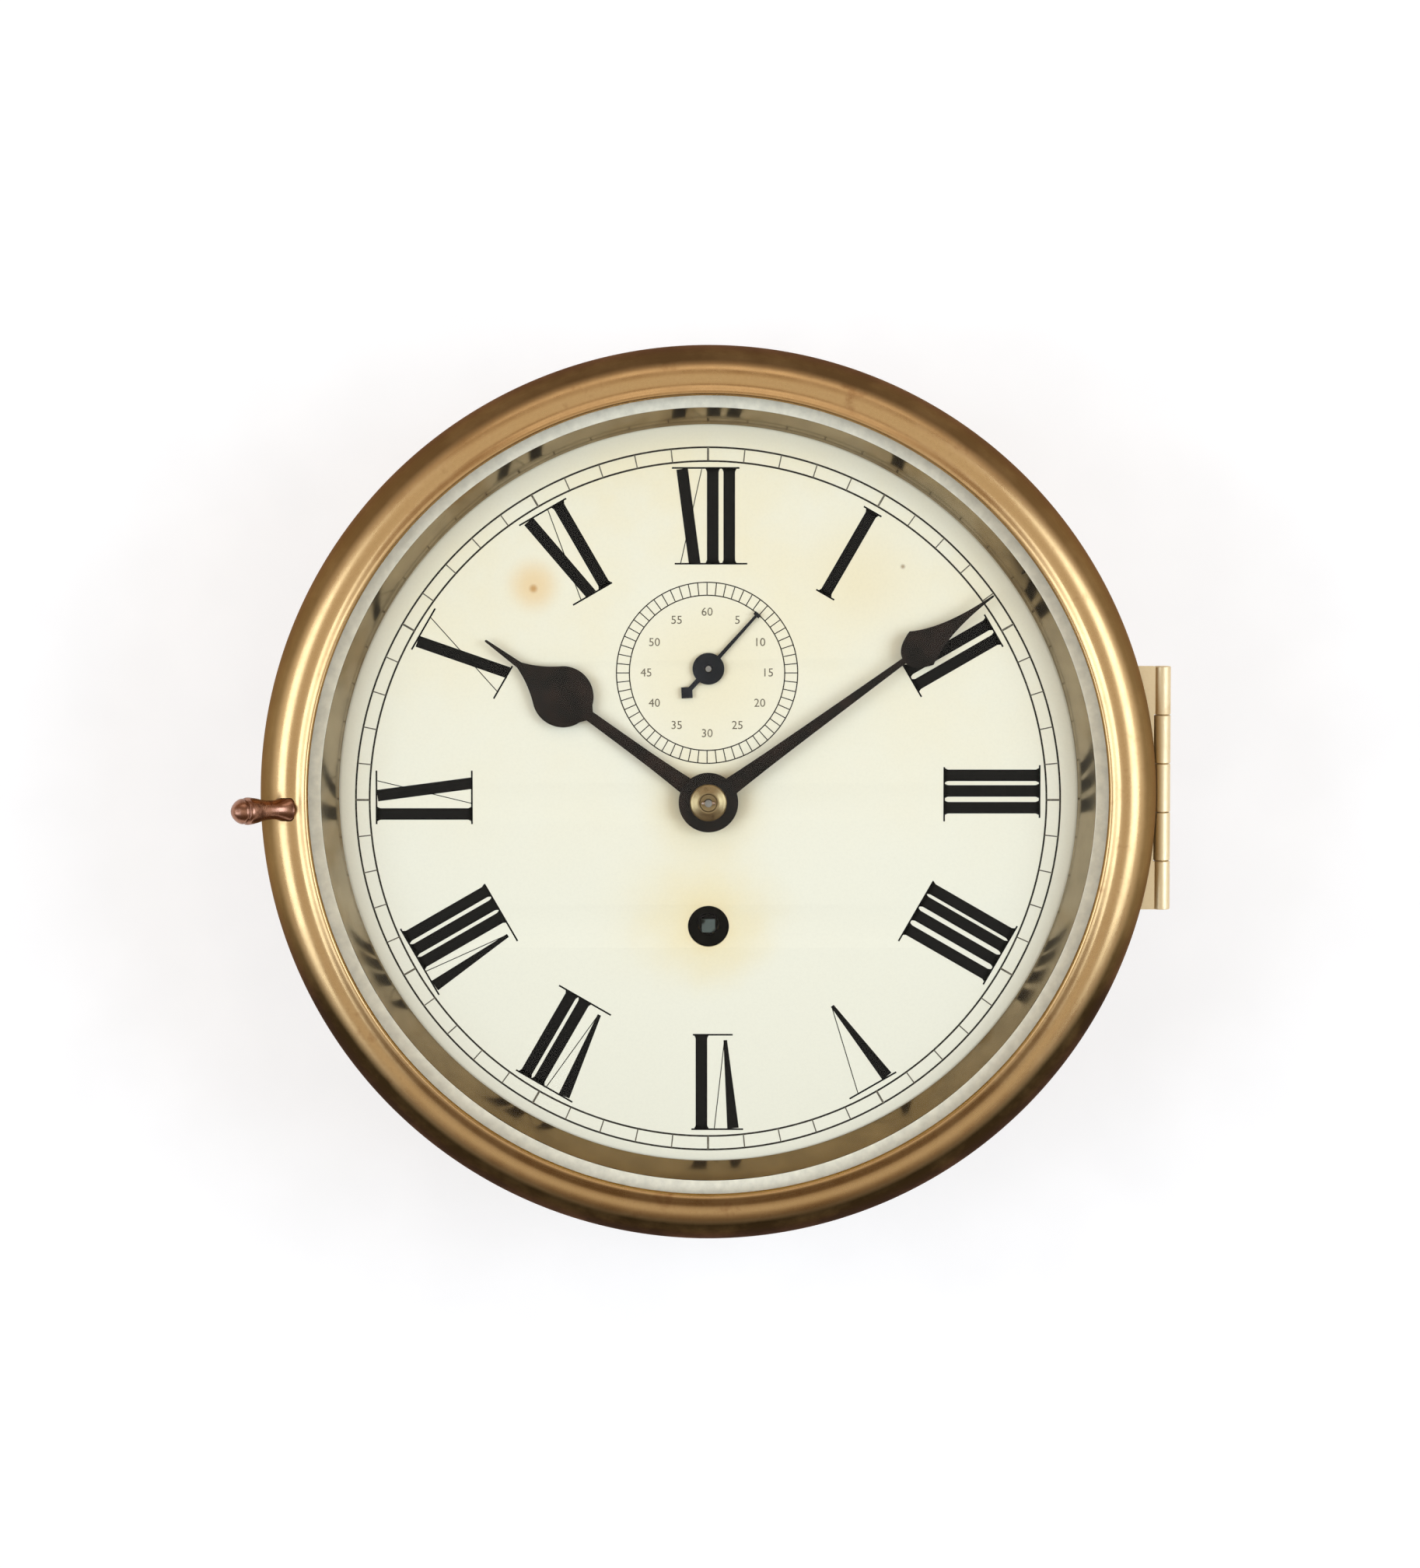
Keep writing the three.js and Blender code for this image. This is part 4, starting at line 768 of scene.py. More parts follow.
def carried(shell: Shell, base: Sequence[float], along: Sequence[float]) -> Shell:
    """Stands a shell turned about the axis out of the wall on a base, along another direction.

    Args:
        shell: The shell, with its axis out of the wall through the origin.
        base: Where its origin goes.
        along: The direction that its axis takes.

    Returns:
        The shell in its place.
    """
    axis = Vector(along).normalized()
    turn = np.array(Vector((0, 0, 1)).rotation_difference(axis).to_matrix())
    return Shell(shell.points @ turn.T + np.array(base), shell.faces)


def prism(corners: np.ndarray, low: float, high: float) -> Shell:
    """A flat outline of any number of corners, raised from low to high.

    Args:
        corners: The outline's corners, in order.
        low: Height of the back.
        high: Height of the face.

    Returns:
        The raised outline, closed at both ends.
    """
    count = len(corners)
    bottom = np.column_stack((corners, np.full(count, low)))
    top = np.column_stack((corners, np.full(count, high)))
    walls = [(k, (k + 1) % count, (k + 1) % count + count, k + count) for k in range(count)]
    return Shell(
        np.concatenate((bottom, top)), walls + [tuple(range(count))[::-1], tuple(range(count, 2 * count))]
    )


def block(low: Sequence[float], high: Sequence[float]) -> Shell:
    """A block between two corners."""
    corners = np.array(((low[0], low[1]), (high[0], low[1]), (high[0], high[1]), (low[0], high[1])))
    return prism(corners, low[2], high[2])


def ring_line(radius: float, width: float, low: float, high: float, centre: Point = (0.0, 0.0)) -> Shell:
    """A thin flat ring, such as a printed line."""
    inner, outer = radius - width / 2, radius + width / 2
    return lathe(np.array(((inner, low), (outer, low), (outer, high), (inner, high))), 240, centre)


def strokes(starts: np.ndarray, ends: np.ndarray, widths: np.ndarray, low: float, high: float) -> Shell:
    """Straight printed strokes, each a bar from its start to its end, worked out all at once.

    A bar's corners are its ends plus and minus half its width along the normal (-dy, dx) of its run.

    Args:
        starts: Start of each stroke.
        ends: End of each stroke.
        widths: Width at the start and at the end of each stroke.
        low: Height of the back.
        high: Height of the face.

    Returns:
        One shell of separate bars.
    """
    run = ends - starts
    normal = np.column_stack((-run[:, 1], run[:, 0])) / np.linalg.norm(run, axis=1)[:, None]
    half = widths / 2
    corners = np.stack(
        (
            starts - normal * half[:, :1],
            starts + normal * half[:, :1],
            ends + normal * half[:, 1:],
            ends - normal * half[:, 1:],
        ),
        axis=1,
    )
    height = np.ones((len(corners), 4, 1))
    flat = np.stack([np.concatenate((corners, height * level), axis=2) for level in (low, high)], 1)
    shape = ((0, 1, 2, 3), (7, 6, 5, 4), (0, 4, 5, 1), (1, 5, 6, 2), (2, 6, 7, 3), (3, 7, 4, 0))
    faces = (np.array(shape)[None] + 8 * np.arange(len(starts))[:, None, None]).reshape(-1, 4)
    return Shell(flat.reshape(-1, 3), [tuple(face) for face in faces.tolist()])


def read_back(curve: bpy.types.Curve) -> Shell:
    """Turns filled curve or text data into a shell in its own coordinates, and removes the data.

    Args:
        curve: The curve or text, in metres.

    Returns:
        The shell, in millimetres.
    """
    holder = bpy.data.objects.new("drawing", curve)
    bpy.context.scene.collection.objects.link(holder)
    graph = bpy.context.evaluated_depsgraph_get()
    mesh = bpy.data.meshes.new_from_object(holder.evaluated_get(graph), depsgraph=graph)
    points = np.empty(len(mesh.vertices) * 3)
    mesh.vertices.foreach_get("co", points)
    faces = [tuple(face.vertices) for face in mesh.polygons]
    bpy.data.objects.remove(holder)
    bpy.data.meshes.remove(mesh)
    bpy.data.curves.remove(curve)
    return Shell(points.reshape(-1, 3) / MM, faces)


def sawn(outlines: Sequence[np.ndarray], low: float, high: float, edge: float = 0.0) -> Shell:
    """A flat sheet cut along outlines, the inner ones as holes, with its edges eased.

    Args:
        outlines: Closed outlines; one that lies inside another is a hole.
        low: Height of the back.
        high: Height of the face.
        edge: Radius that eases the edges.

    Returns:
        The cut sheet.
    """
    curve = bpy.data.curves.new("outline", "CURVE")
    curve.dimensions, curve.fill_mode = "2D", "BOTH"
    curve.extrude = ((high - low) / 2 - edge) * MM
    curve.bevel_depth, curve.bevel_resolution, curve.offset = edge * MM, 2, -edge * MM
    for outline in outlines:
        spline = curve.splines.new("POLY")
        spline.points.add(len(outline) - 1)
        flat = np.column_stack((outline * MM, np.zeros(len(outline)), np.ones(len(outline))))
        spline.points.foreach_set("co", flat.ravel())
        spline.use_cyclic_u = True
    return read_back(curve).moved(out=(low + high) / 2)


def lettered(text: str, size: float, low: float, high: float) -> Shell:
    """Plain figures, centred on the origin and as tall as the size gives.

    Args:
        text: The figures.
        size: Their height on the dial.
        low: Height of the back.
        high: Height of the face.

    Returns:
        The figures as a flat print.
    """
    curve = bpy.data.curves.new("figures", "FONT")
    curve.body, curve.size = text, size * MM / FIGURE_SHARE
    curve.align_x, curve.align_y = "CENTER", "CENTER"
    curve.extrude, curve.resolution_u = (high - low) / 2 * MM, 3
    return read_back(curve).moved(out=(low + high) / 2)


def circle(radius: float, centre: Point = (0.0, 0.0), count: int = 96) -> np.ndarray:
    """Points round a circle."""
    angle = np.arange(count) * (TURN / count)
    return np.column_stack((centre[0] + radius * np.cos(angle), centre[1] + radius * np.sin(angle)))


# Pieces


@dataclass
class Maker:
    """Turns shells into pieces that ride on the frame, and dresses the frame's own nodes."""

    frame: dict
    made: list[str] = field(default_factory=list)

    def piece(
        self,
        name: str,
        shell: Shell,
        finish: Finish,
        body: str,
        stands_for: Sequence[str] = (),
        drop: float = 0.0,
        cuts: Sequence[Shell] = (),
        smooth: float = 35.0,
    ) -> bpy.types.Object:
        """Makes one piece.

        Args:
            name: The piece's name.
            shell: Its surface.
            finish: Its finish.
            body: The body that it rides on.
            stands_for: The frame's nodes that it replaces.
            drop: How far its origin lies below the case axis, in millimetres.
            cuts: Shells that are cut out of it.
            smooth: The angle in degrees up to which faces join smoothly.

        Returns:
            The piece's object.
        """
        made = self._object(name, shell, drop)
        if cuts:
            self._cut(made, [self._object(f"{name}_cut_{k}", cut, drop) for k, cut in enumerate(cuts)])
        made.data.shade_smooth()
        made.data.set_sharp_from_angle(angle=math.radians(smooth))
        made.data.materials.clear()
        made.data.materials.append(finish.material())
        if stands_for:
            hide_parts(*stands_for)
        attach(made, body)
        self.made.append(name)
        log.info("piece %s: %d faces, on %s", name, len(made.data.polygons), body)
        return made

    def dress(self, nodes: Iterable[str], finish: Finish) -> None:
        """Gives nodes of the frame a finish.

        Args:
            nodes: Names of the nodes.
            finish: The finish.
        """
        for name in nodes:
            data = self.frame["nodes"][name].data
            data.materials.clear()
            data.materials.append(finish.material())
            log.info("node %s: %s", name, finish.name)

    @staticmethod
    def _object(name: str, shell: Shell, drop: float) -> bpy.types.Object:
        """Puts a shell into the row frame: (right, up, out) goes to (right, -out, up), in metres.

        Args:
            name: The object's name.
            shell: Its surface.
            drop: How far its origin lies below the case axis, in millimetres.

        Returns:
            The object, in the scene.
        """
        right, up, out = shell.points.T
        placed = np.column_stack((right, -out, up - drop)) * MM
        mesh = bpy.data.meshes.new(name)
        mesh.from_pydata(placed.tolist(), [], shell.faces)
        work = bmesh.new()
        work.from_mesh(mesh)
        bmesh.ops.remove_doubles(work, verts=work.verts, dist=1e-7)
        bmesh.ops.recalc_face_normals(work, faces=work.faces)
        work.to_mesh(mesh)
        work.free()
        made = bpy.data.objects.new(name, mesh)
        bpy.context.scene.collection.objects.link(made)
        return made

    @staticmethod
    def _cut(made: bpy.types.Object, cutters: Sequence[bpy.types.Object]) -> None:
        """Cuts the cutters out of a piece and removes them.

        Args:
            made: The piece.
            cutters: The objects that are cut out of it.
        """
        for cutter in cutters:
            modifier = made.modifiers.new("cut", "BOOLEAN")
            modifier.operation, modifier.solver, modifier.object = "DIFFERENCE", "EXACT", cutter
        graph = bpy.context.evaluated_depsgraph_get()
        mesh = bpy.data.meshes.new_from_object(made.evaluated_get(graph), depsgraph=graph)
        made.modifiers.clear()
        old, made.data = made.data, mesh
        bpy.data.meshes.remove(old)
        mesh.name = made.name
        for cutter in cutters:
            bpy.data.objects.remove(cutter)


@dataclass
class Hinge:
    """The five-knuckle hinge at three o'clock, whose leaves are let into the flange and the bezel."""

    pin_right: float = 115.8
    pin_radius: float = 1.0
    height: float = 57.15
    rise: float = 1.5
    length: float = 62.2
    knuckles: int = 5
    knuckle_radius: float = 2.15
    knuckle_ease: float = 0.18
    gap: float = 0.15
    leaf_width: float = 10.6
    leaf_thickness: float = 1.0
    leaf_inset: float = 0.6  # how far short of the pin's axis a leaf ends
    room: float = 0.3  # what is cut away round it in other pieces
    case_depth: float = 57.0
    bezel_back: float = 57.3

    def bar(self, radius: float, start: float, end: float, ease: float = 0.0, count: int = 48) -> Shell:
        """A bar along the pin from one height to another, with eased ends.

        Args:
            radius: The bar's radius.
            start: Its lower end, above the hinge's foot.
            end: Its upper end.
            ease: How much the ends are eased.
            count: Places round it.

        Returns:
            The bar in its place on the hinge.
        """
        length = end - start
        side = [(radius - ease, 0), (radius, ease), (radius, length - ease), (radius - ease, length)]
        base = (self.pin_right, self.rise - self.length / 2 + start, self.height)
        return carried(lathe(np.array([(0, 0), *side, (0, length)]), count), base, (0, 1, 0))

    def leaf(self, low: float, high: float, margin: float = 0.0) -> Shell:
        """The flat part of a leaf, grown by a margin.

        Args:
            low: Height of its back.
            high: Height of its face.
            margin: What is added at its edges.

        Returns:
            The leaf's plate.
        """
        reach = self.pin_right - self.knuckle_radius - self.leaf_width
        half = self.length / 2
        corner = (self.pin_right - self.leaf_inset, self.rise + half + margin, high)
        return block((reach - margin, self.rise - half - margin, low), corner)

    def knuckle_set(self, odd: int) -> list[Shell]:
        """Every other knuckle, from the first or the second, with a gap between neighbours.

        Args:
            odd: 0 for the bezel's knuckles, 1 for the case's.

        Returns:
            One bar for each knuckle.
        """
        pitch, last = self.length / self.knuckles, self.knuckles - 1
        bars = []
        for k in range(odd, self.knuckles, 2):
            start = k * pitch + (self.gap / 2 if k else 0)
            end = (k + 1) * pitch - (self.gap / 2 if k < last else 0)
            bars.append(self.bar(self.knuckle_radius, start, end, self.knuckle_ease))
        return bars

    def clearance(self, odd: int) -> list[Shell]:
        """What is cut from a leaf for the other leaf's knuckles.

        Args:
            odd: Which knuckles are the leaf's own, 0 or 1.

        Returns:
            One bar for each cut.
        """
        pitch, radius = self.length / self.knuckles, self.knuckle_radius + self.room
        others = range(1 - odd, self.knuckles, 2)
        return [self.bar(radius, k * pitch - self.gap, (k + 1) * pitch + self.gap) for k in others]

    def build(self, maker: Maker) -> None:
        """Makes both leaves with their knuckles, and the pin.

        Args:
            maker: What makes and dresses the pieces.
        """
        plans = (
            ("hinge_leaf_bezel", "bezel_body", self.bezel_back, 0),
            ("hinge_leaf_case", "case", self.case_depth - self.leaf_thickness, 1),
        )
        for node, body, low, odd in plans:
            name = node + "_turned"
            plate = self.leaf(low, low + self.leaf_thickness)
            maker.piece(name, plate, HINGE_BRASS, body, (node,), cuts=self.clearance(odd))
            maker.piece(name + "_knuckles", together(self.knuckle_set(odd)), HINGE_BRASS, body)
        pin = self.bar(self.pin_radius, 0.2, self.length - 0.2, ease=0.2, count=32)
        maker.piece("hinge_pin_turned", pin, HINGE_BRASS, "case", ("hinge_pin",))


@dataclass
class Case:
    """The drum with the flange that the bezel closes on, and its back."""

    hinge: Hinge
    radius: float = 106.0
    wall: float = 1.6
    depth: float = 57.0
    flange_radius: float = 112.0
    flange_thickness: float = 2.4
    opening: float = 101.0
    back_thickness: float = 2.0
    hole_radius: float = 2.6
    hole_circle: float = 90.0
    holes: int = 4
    posts: int = 4

    def drum_profile(self) -> np.ndarray:
        """Up the outside with a turned back edge, round the flange and down the inside.

        Returns:
            Radius and height of each point.
        """
        radius, inner, rim = self.radius, self.radius - self.wall, self.flange_radius
        back = self.depth - self.flange_thickness
        outside = [(radius - 0.5, 0.0), (radius - 0.15, 0.15), (radius, 0.5)]
        fillet = through([(radius, back - 2.4), (radius + 0.5, back - 0.7), (radius + 2.2, back)], 5)
        flange = [(rim - 0.4, back), (rim, back + 0.4), (rim, self.depth - 0.4), (rim - 0.4, self.depth)]
        mouth = [(self.opening + 0.2, self.depth), (self.opening, self.depth - 0.2), (self.opening, back)]
        return np.concatenate((outside, fillet, flange, mouth, [(inner, back), (inner, 0.0)]))

    def build(self, maker: Maker) -> None:
        """Makes the drum and its back, and dresses the posts.

        Args:
            maker: What makes and dresses the pieces.
        """
        thickness, room = self.hinge.leaf_thickness, self.hinge.room
        recess = self.hinge.leaf(self.depth - thickness - room, self.depth + room, room)
        drum = lathe(self.drum_profile(), 256)
        maker.piece("case_drum_spun", drum, CASE_BRASS, "case", ("case_drum",), cuts=(recess,))
        outlines = [circle(self.radius - self.wall - 0.3, count=256)]
        for k in range(self.holes):
            turn = math.radians(45 + 90 * k)
            place = (self.hole_circle * math.cos(turn), self.hole_circle * math.sin(turn))
            outlines.append(circle(self.hole_radius, place, 40))
        disc = sawn(outlines, 0.0, self.back_thickness, 0.15)
        maker.piece("case_back_disc", disc, CASE_BRASS, "case", ("case_back",))
        maker.dress([f"movement_post_{k + 1}" for k in range(self.posts)], PLATE_BRASS)


@dataclass
class Bezel:
    """The moulded bezel, its pull knob, the flat glass and the reflector ring behind it."""

    hinge: Hinge
    radius: float = 114.3
    back: float = 57.3
    sight: float = 101.6
    sight_height: float = 69.3
    bore: float = 104.5
    lip: float = 1.9
    roll_width: float = 8.2
    roll_side: float = 0.5
    glass_radius: float = 104.2
    glass_back: float = 65.2
    glass_front: float = 67.3
    cone_outer: float = 98.5
    cone_inner: float = 94.2
    ring_front: float = 65.1
    ring_back: float = 58.7
    ring_lip: float = 1.0
    ring_wall: float = 1.1
    knob_tilt: float = 35.0
    knob_right: float = -106.6
    knob_up: float = -3.2
    knob_height: float = 67.3
    knob_length: float = 16.6

    def moulding(self) -> np.ndarray:
        """Up the edge and over the roll to the hollow and the bead, down the bore and back.

        The roll is a quarter of an ellipse: at turn t it stands at (hollow + width cos t,
        top - height (1 - sin t)).

        Returns:
            Radius and height of each point.
        """
        top, edge = self.sight_height, self.radius
        hollow = edge - self.roll_width
        turn = np.linspace(0.0, math.pi / 2, 40)
        height = top - self.back - self.roll_side
        roll = np.column_stack((hollow + self.roll_width * np.cos(turn), top - height * (1 - np.sin(turn))))
        bead_width = hollow - self.sight
        shares = ((1.0, 0.0), (0.8, 0.03), (0.64, 0.13), (0.51, 0.34), (0.4, 0.6), (0.3, 0.84), (0.21, 0.97))
        shares += ((0.13, 1.0), (0.05, 0.77), (0.01, 0.3), (0.0, 0.05))
        bead = through([(self.sight + bead_width * across, top + rise) for across, rise in shares], 6)
        start = [(edge - 0.15, self.back), (edge, self.back + 0.15)]
        bore = [(self.sight, top - self.lip), (self.bore, top - self.lip), (self.bore, self.back)]
        return np.concatenate((start, roll, bead[1:], bore))

    def knob_turning(self, margin: float = 0.0) -> Shell:
        """The knob: a flared foot, a waisted neck, a bulb with a groove and a domed end, along its own axis.

        Args:
            margin: What is added to every radius where the bezel is cut for it.

        Returns:
            The knob in its place on the bezel's slope.
        """
        back = [(0.0, -margin), (3.3 + margin, -margin)]
        foot = [(3.3, 0.0), (3.5, 0.3), (3.4, 0.8), (2.95, 1.9), (2.6, 3.2), (2.45, 4.6), (2.5, 6.4)]
        bulb = [(2.5, 6.4), (2.75, 8.0), (3.15, 9.6), (3.45, 11.2), (3.5, 12.2), (3.3, 12.8)]
        groove = [(3.05, 12.95), (3.05, 13.15)]
        end = (0.0, self.knob_length - 0.1)
        cap = [(3.2, 13.3), (3.2, 13.9), (2.7, 14.9), (1.85, 15.8), (0.9, 16.35), end]
        profile = np.concatenate((back, through(foot, 5), through(bulb, 5)[1:], groove, through(cap, 5)))
        profile[2:-1, 0] += margin
        profile[-1, 1] += margin
        return self.on_slope(lathe(profile, 72))

    def on_slope(self, shell: Shell) -> Shell:
        """Stands a turned shell on the knob's place, leaning forward from the bezel's plane.

        Args:
            shell: The shell, with its axis out of the wall.

        Returns:
            The shell in its place.
        """
        tilt = math.radians(self.knob_tilt)
        base = (self.knob_right, self.knob_up, self.knob_height)
        return carried(shell, base, (-math.cos(tilt), 0, math.sin(tilt)))

    def spigot(self, radius: float, depth: float) -> Shell:
        """The turned stub by which the knob is held in the bezel."""
        return self.on_slope(lathe(np.array(((0, -depth), (radius, -depth), (radius, 0.3), (0, 0.3))), 32))

    def reflector_profile(self) -> np.ndarray:
        """Up the polished cone and the lip, along the land under the glass, and back behind.

        Returns:
            Radius and height of each point.
        """
        outer, front, behind = self.cone_outer, self.ring_front, self.ring_front - self.ring_wall
        cone = [(self.cone_inner, self.ring_back), (outer - 0.02, front - self.ring_lip)]
        land = [(outer, front - 0.1), (outer + 0.1, front), (self.glass_radius, front)]
        rear = [(self.glass_radius, behind), (outer + 1.2, behind), (self.cone_inner + 0.8, self.ring_back)]
        return np.array(cone + land + rear)

    def pane_profile(self) -> np.ndarray:
        """Across the glass behind, round its eased edge and back in front.

        Returns:
            Radius and height of each point.
        """
        edge, back, front = self.glass_radius, self.glass_back, self.glass_front
        rim = [(edge - 0.3, back), (edge, back + 0.3), (edge, front - 0.3), (edge - 0.3, front)]
        return np.array([(0, back), *rim, (0, front)])

    def build(self, maker: Maker) -> None:
        """Makes the bezel with its cuts, the knob, the glass and the ring.

        Args:
            maker: What makes and dresses the pieces.
        """
        hinge, room, body = self.hinge, self.hinge.room, "bezel_body"
        cuts = (
            hinge.leaf(self.back - room, self.back + hinge.leaf_thickness + room, room),
            hinge.bar(hinge.knuckle_radius + room, -room, hinge.length + room),
            self.spigot(1.3, 2.9),
            self.knob_turning(0.12),
        )
        moulded = lathe(self.moulding(), 384)
        maker.piece("bezel_moulded", moulded, BEZEL_BRASS, body, ("bezel",), cuts=cuts)
        knob = together((self.knob_turning(), self.spigot(1.2, 2.6)))
        maker.piece("bezel_knob_turned", knob, KNOB_BRASS, body, ("bezel_knob",))
        pane = lathe(self.pane_profile(), 256)
        maker.piece("glass_pane", pane, CLEAR_GLASS, body, ("glass",))
        ring, node = lathe(self.reflector_profile(), 384), ("reflector_ring",)
        maker.piece("reflector_ring_polished", ring, REFLECTOR_BRASS, body, node)


@dataclass(frozen=True)
class Numeral:
    """One hour numeral: places across its width, in millimetres, read with its top outward.

    Uprights are thick; a thick and a thin slant are each given at the top and at the foot; the foot
    serif is a hairline from one end to the other.
    """

    uprights: tuple[float, ...]
    thick: Optional[Point] = None
    thin: Optional[Point] = None
    serif: Optional[Point] = None
    pointed: bool = False


NUMERALS = (
    Numeral((-0.5,), serif=(-3.0, 2.3)),
    Numeral((-3.2, 1.1), serif=(-5.9, 4.4)),
    Numeral((-6.3, -2.3, 2.0), serif=(-8.4, 5.5)),
    Numeral((-8.9, -5.2, -1.1, 3.2), serif=(-10.8, 7.0)),
    Numeral((), thick=(-4.2, -1.1), thin=(4.4, -0.9), pointed=True),
    Numeral((1.7,), thick=(-6.4, -4.4), thin=(-1.6, -4.2), serif=(-6.3, 3.9), pointed=True),
    Numeral((1.5, 5.3), thick=(-6.1, -3.5), thin=(-1.0, -3.3), serif=(-6.1, 9.2), pointed=True),
    Numeral((0.4, 4.2, 8.1), thick=(-6.3, -4.5), thin=(-2.0, -4.3), serif=(-7.0, 9.9), pointed=True),
    Numeral((-3.6,), thick=(1.1, 4.3), thin=(4.9, -0.9), serif=(-6.2, 7.5)),
    Numeral((), thick=(-1.9, 2.7), thin=(5.0, -2.9), serif=(-4.9, 4.7)),
    Numeral((4.6,), thick=(-4.0, 0.5), thin=(1.7, -2.5), serif=(-4.9, 6.6)),
    Numeral((1.2, 5.4), thick=(-6.6, -3.4), thin=(-1.6, -7.0), serif=(-8.5, 10.0)),
)
DIAL_STAINS = (
    Stain(0.0, -34.0, 24.0, 0.75, "#F2DDA8"),
    Stain(0.0, -34.0, 9.5, 0.5, "#E0BC7C"),
    Stain(0.0, -2.0, 22.0, 0.6, "#F2DFB2"),
    Stain(0.0, 30.0, 30.0, 0.5, "#F3E2BA"),
    Stain(-44.8, 53.0, 9.5, 0.75, "#EFCB92"),
    Stain(-44.6, 52.4, 1.6, 0.9, "#C9924E"),
    Stain(49.5, 58.0, 1.0, 0.9, "#8B6A44"),
    Stain(38.0, 55.0, 22.0, 0.45, "#F1DDB0"),
    Stain(-6.0, -30.0, 30.0, 0.3, "#F3E3BC"),
)
# Sprayed enamel paint: cream and matt, with warm stains round its holes and painted shade at its rim
DIAL_PAINT = AgedPaint("aged_cream_enamel", stains=DIAL_STAINS)


@dataclass
class Dial:
    """The painted dial with its printed numerals, minute track and seconds ring."""

    radius: float = 98.4
    back: float = 56.8
    face: float = 58.0
    centre_hole: float = 4.4
    seconds_hole: float = 1.5
    winding_hole: float = 5.25
    seconds_distance: float = 34.0
    winding_distance: float = 32.0
    feet: tuple[Point, ...] = ((37.0, 17.0), (-37.0, 17.0), (37.0, -32.0), (-37.0, -32.0))
    foot_back: float = 45.5
    foot_radius: float = 1.5
    film: float = 0.03
    print_centre: Point = (-0.1, 0.43)
    numeral_top: float = 84.4
    numeral_foot: float = 61.1
    point_rise: float = 0.6
    point_width: float = 0.9
    serif_at: float = 60.3
    serif_reach: float = 2.6
    thick_width: float = 2.95
    hairline: float = 0.3
    bracket: float = 0.9
    track: Point = (86.4, 89.9)
    track_line: float = 0.46
    minute_tick: float = 0.3
    hour_tick: float = 0.5
    seconds_centre: Point = (-0.35, 32.9)
    seconds_ring: Point = (19.8, 23.1)
    seconds_line: float = 0.28
    seconds_tick: float = 0.24
    figure_radius: float = 15.5
    figure_height: float = 2.1

    def levels(self, lift: float) -> Point:
        """Back and face of a print that stands this much off the paint."""
        return self.face + lift, self.face + lift + self.film

    def numeral_strokes(self, numeral: Numeral) -> Shell:
        """The strokes of a numeral with its top at twelve o'clock.

        Args:
            numeral: The numeral.

        Returns:
            Its strokes, as one shell of separate bars.
        """
        top, thick, hair = self.numeral_top, self.thick_width, self.hairline
        foot, tip = self.serif_at, thick
        if numeral.pointed or not numeral.serif:
            foot = self.numeral_foot
        slant_foot = foot
        if numeral.pointed:
            slant_foot, tip = foot + self.point_rise, self.point_width
        drawn = [(x, foot, x, top, thick, thick) for x in numeral.uprights]
        for x in numeral.uprights:
            for end, step in ((self.serif_at, self.bracket), (top + 0.2, -self.bracket)):
                drawn.append((x, end, x, end + step, thick + self.bracket, thick))
        if numeral.thick:
            drawn.append((numeral.thick[1], slant_foot, numeral.thick[0], top, tip, thick))
        if numeral.thin:
            drawn.append((numeral.thin[1], slant_foot, numeral.thin[0], top, hair * 0.7, hair * 0.7))
        if numeral.serif:
            left, right = numeral.serif
            drawn.append((left, self.serif_at, right, self.serif_at, hair * 1.4, hair * 1.4))
        across = [*numeral.uprights, *(slant[0] for slant in (numeral.thick, numeral.thin) if slant)]
        left, right = min(across) - self.serif_reach, max(across) + self.serif_reach
        drawn.append((left, top + 0.25, right, top + 0.25, hair * 1.4, hair * 1.4))
        table = np.array(drawn)
        return strokes(table[:, :2], table[:, 2:4], table[:, 4:], *self.levels(0.005))

    def ticks(self, count: int, ring: Point, width: float, centre: Point, skip: int = 0) -> Shell:
        """Radial strokes round a ring: stroke k lies at angle 360 k / count.

        Args:
            count: Places round the ring.
            ring: Radii where a stroke starts and ends.
            width: Its width.
            centre: The ring's centre.
            skip: Every place that this number divides is left out, or 0 for none.

        Returns:
            The strokes.
        """
        places = np.arange(count)
        if skip:
            places = places[places % skip != 0]
        angle = places * (TURN / count)
        ray = np.column_stack((np.sin(angle), np.cos(angle)))
        starts, ends = (np.array(centre) + ray * radius for radius in ring)
        return strokes(starts, ends, np.full((len(places), 2), width), *self.levels(0.004))

    def rings(self, ring: Point, width: float, centre: Point) -> Shell:
        """The two printed lines that bound a ring."""
        return together(ring_line(radius, width, *self.levels(0.003), centre) for radius in ring)

    def disc(self) -> Shell:
        """The sheet with its holes, and the feet behind it.

        Returns:
            The disc and its feet, as one shell.
        """
        outlines = (
            circle(self.radius, count=256),
            circle(self.centre_hole),
            circle(self.seconds_hole, (0.0, self.seconds_distance), 48),
            circle(self.winding_hole, (0.0, -self.winding_distance)),
        )
        sheet = sawn(outlines, self.back, self.face, 0.12)
        back, radius, end = self.foot_back, self.foot_radius, self.back + 0.1
        foot = np.array(((0, back), (radius - 0.2, back), (radius, back + 0.2), (radius, end), (0, end)))
        return together((sheet, *(lathe(foot, 24, place) for place in self.feet)))

    def figures(self) -> Shell:
        """The numbers 5 to 60 round the seconds ring.

        Returns:
            The numbers as one shell.
        """
        (right, up), out = self.seconds_centre, self.figure_radius
        parts = []
        for k in range(1, 13):
            angle = TURN * k / 12
            figure = lettered(str(5 * k), self.figure_height, *self.levels(0.003))
            parts.append(figure.moved(right + out * math.sin(angle), up + out * math.cos(angle)))
        return together(parts)

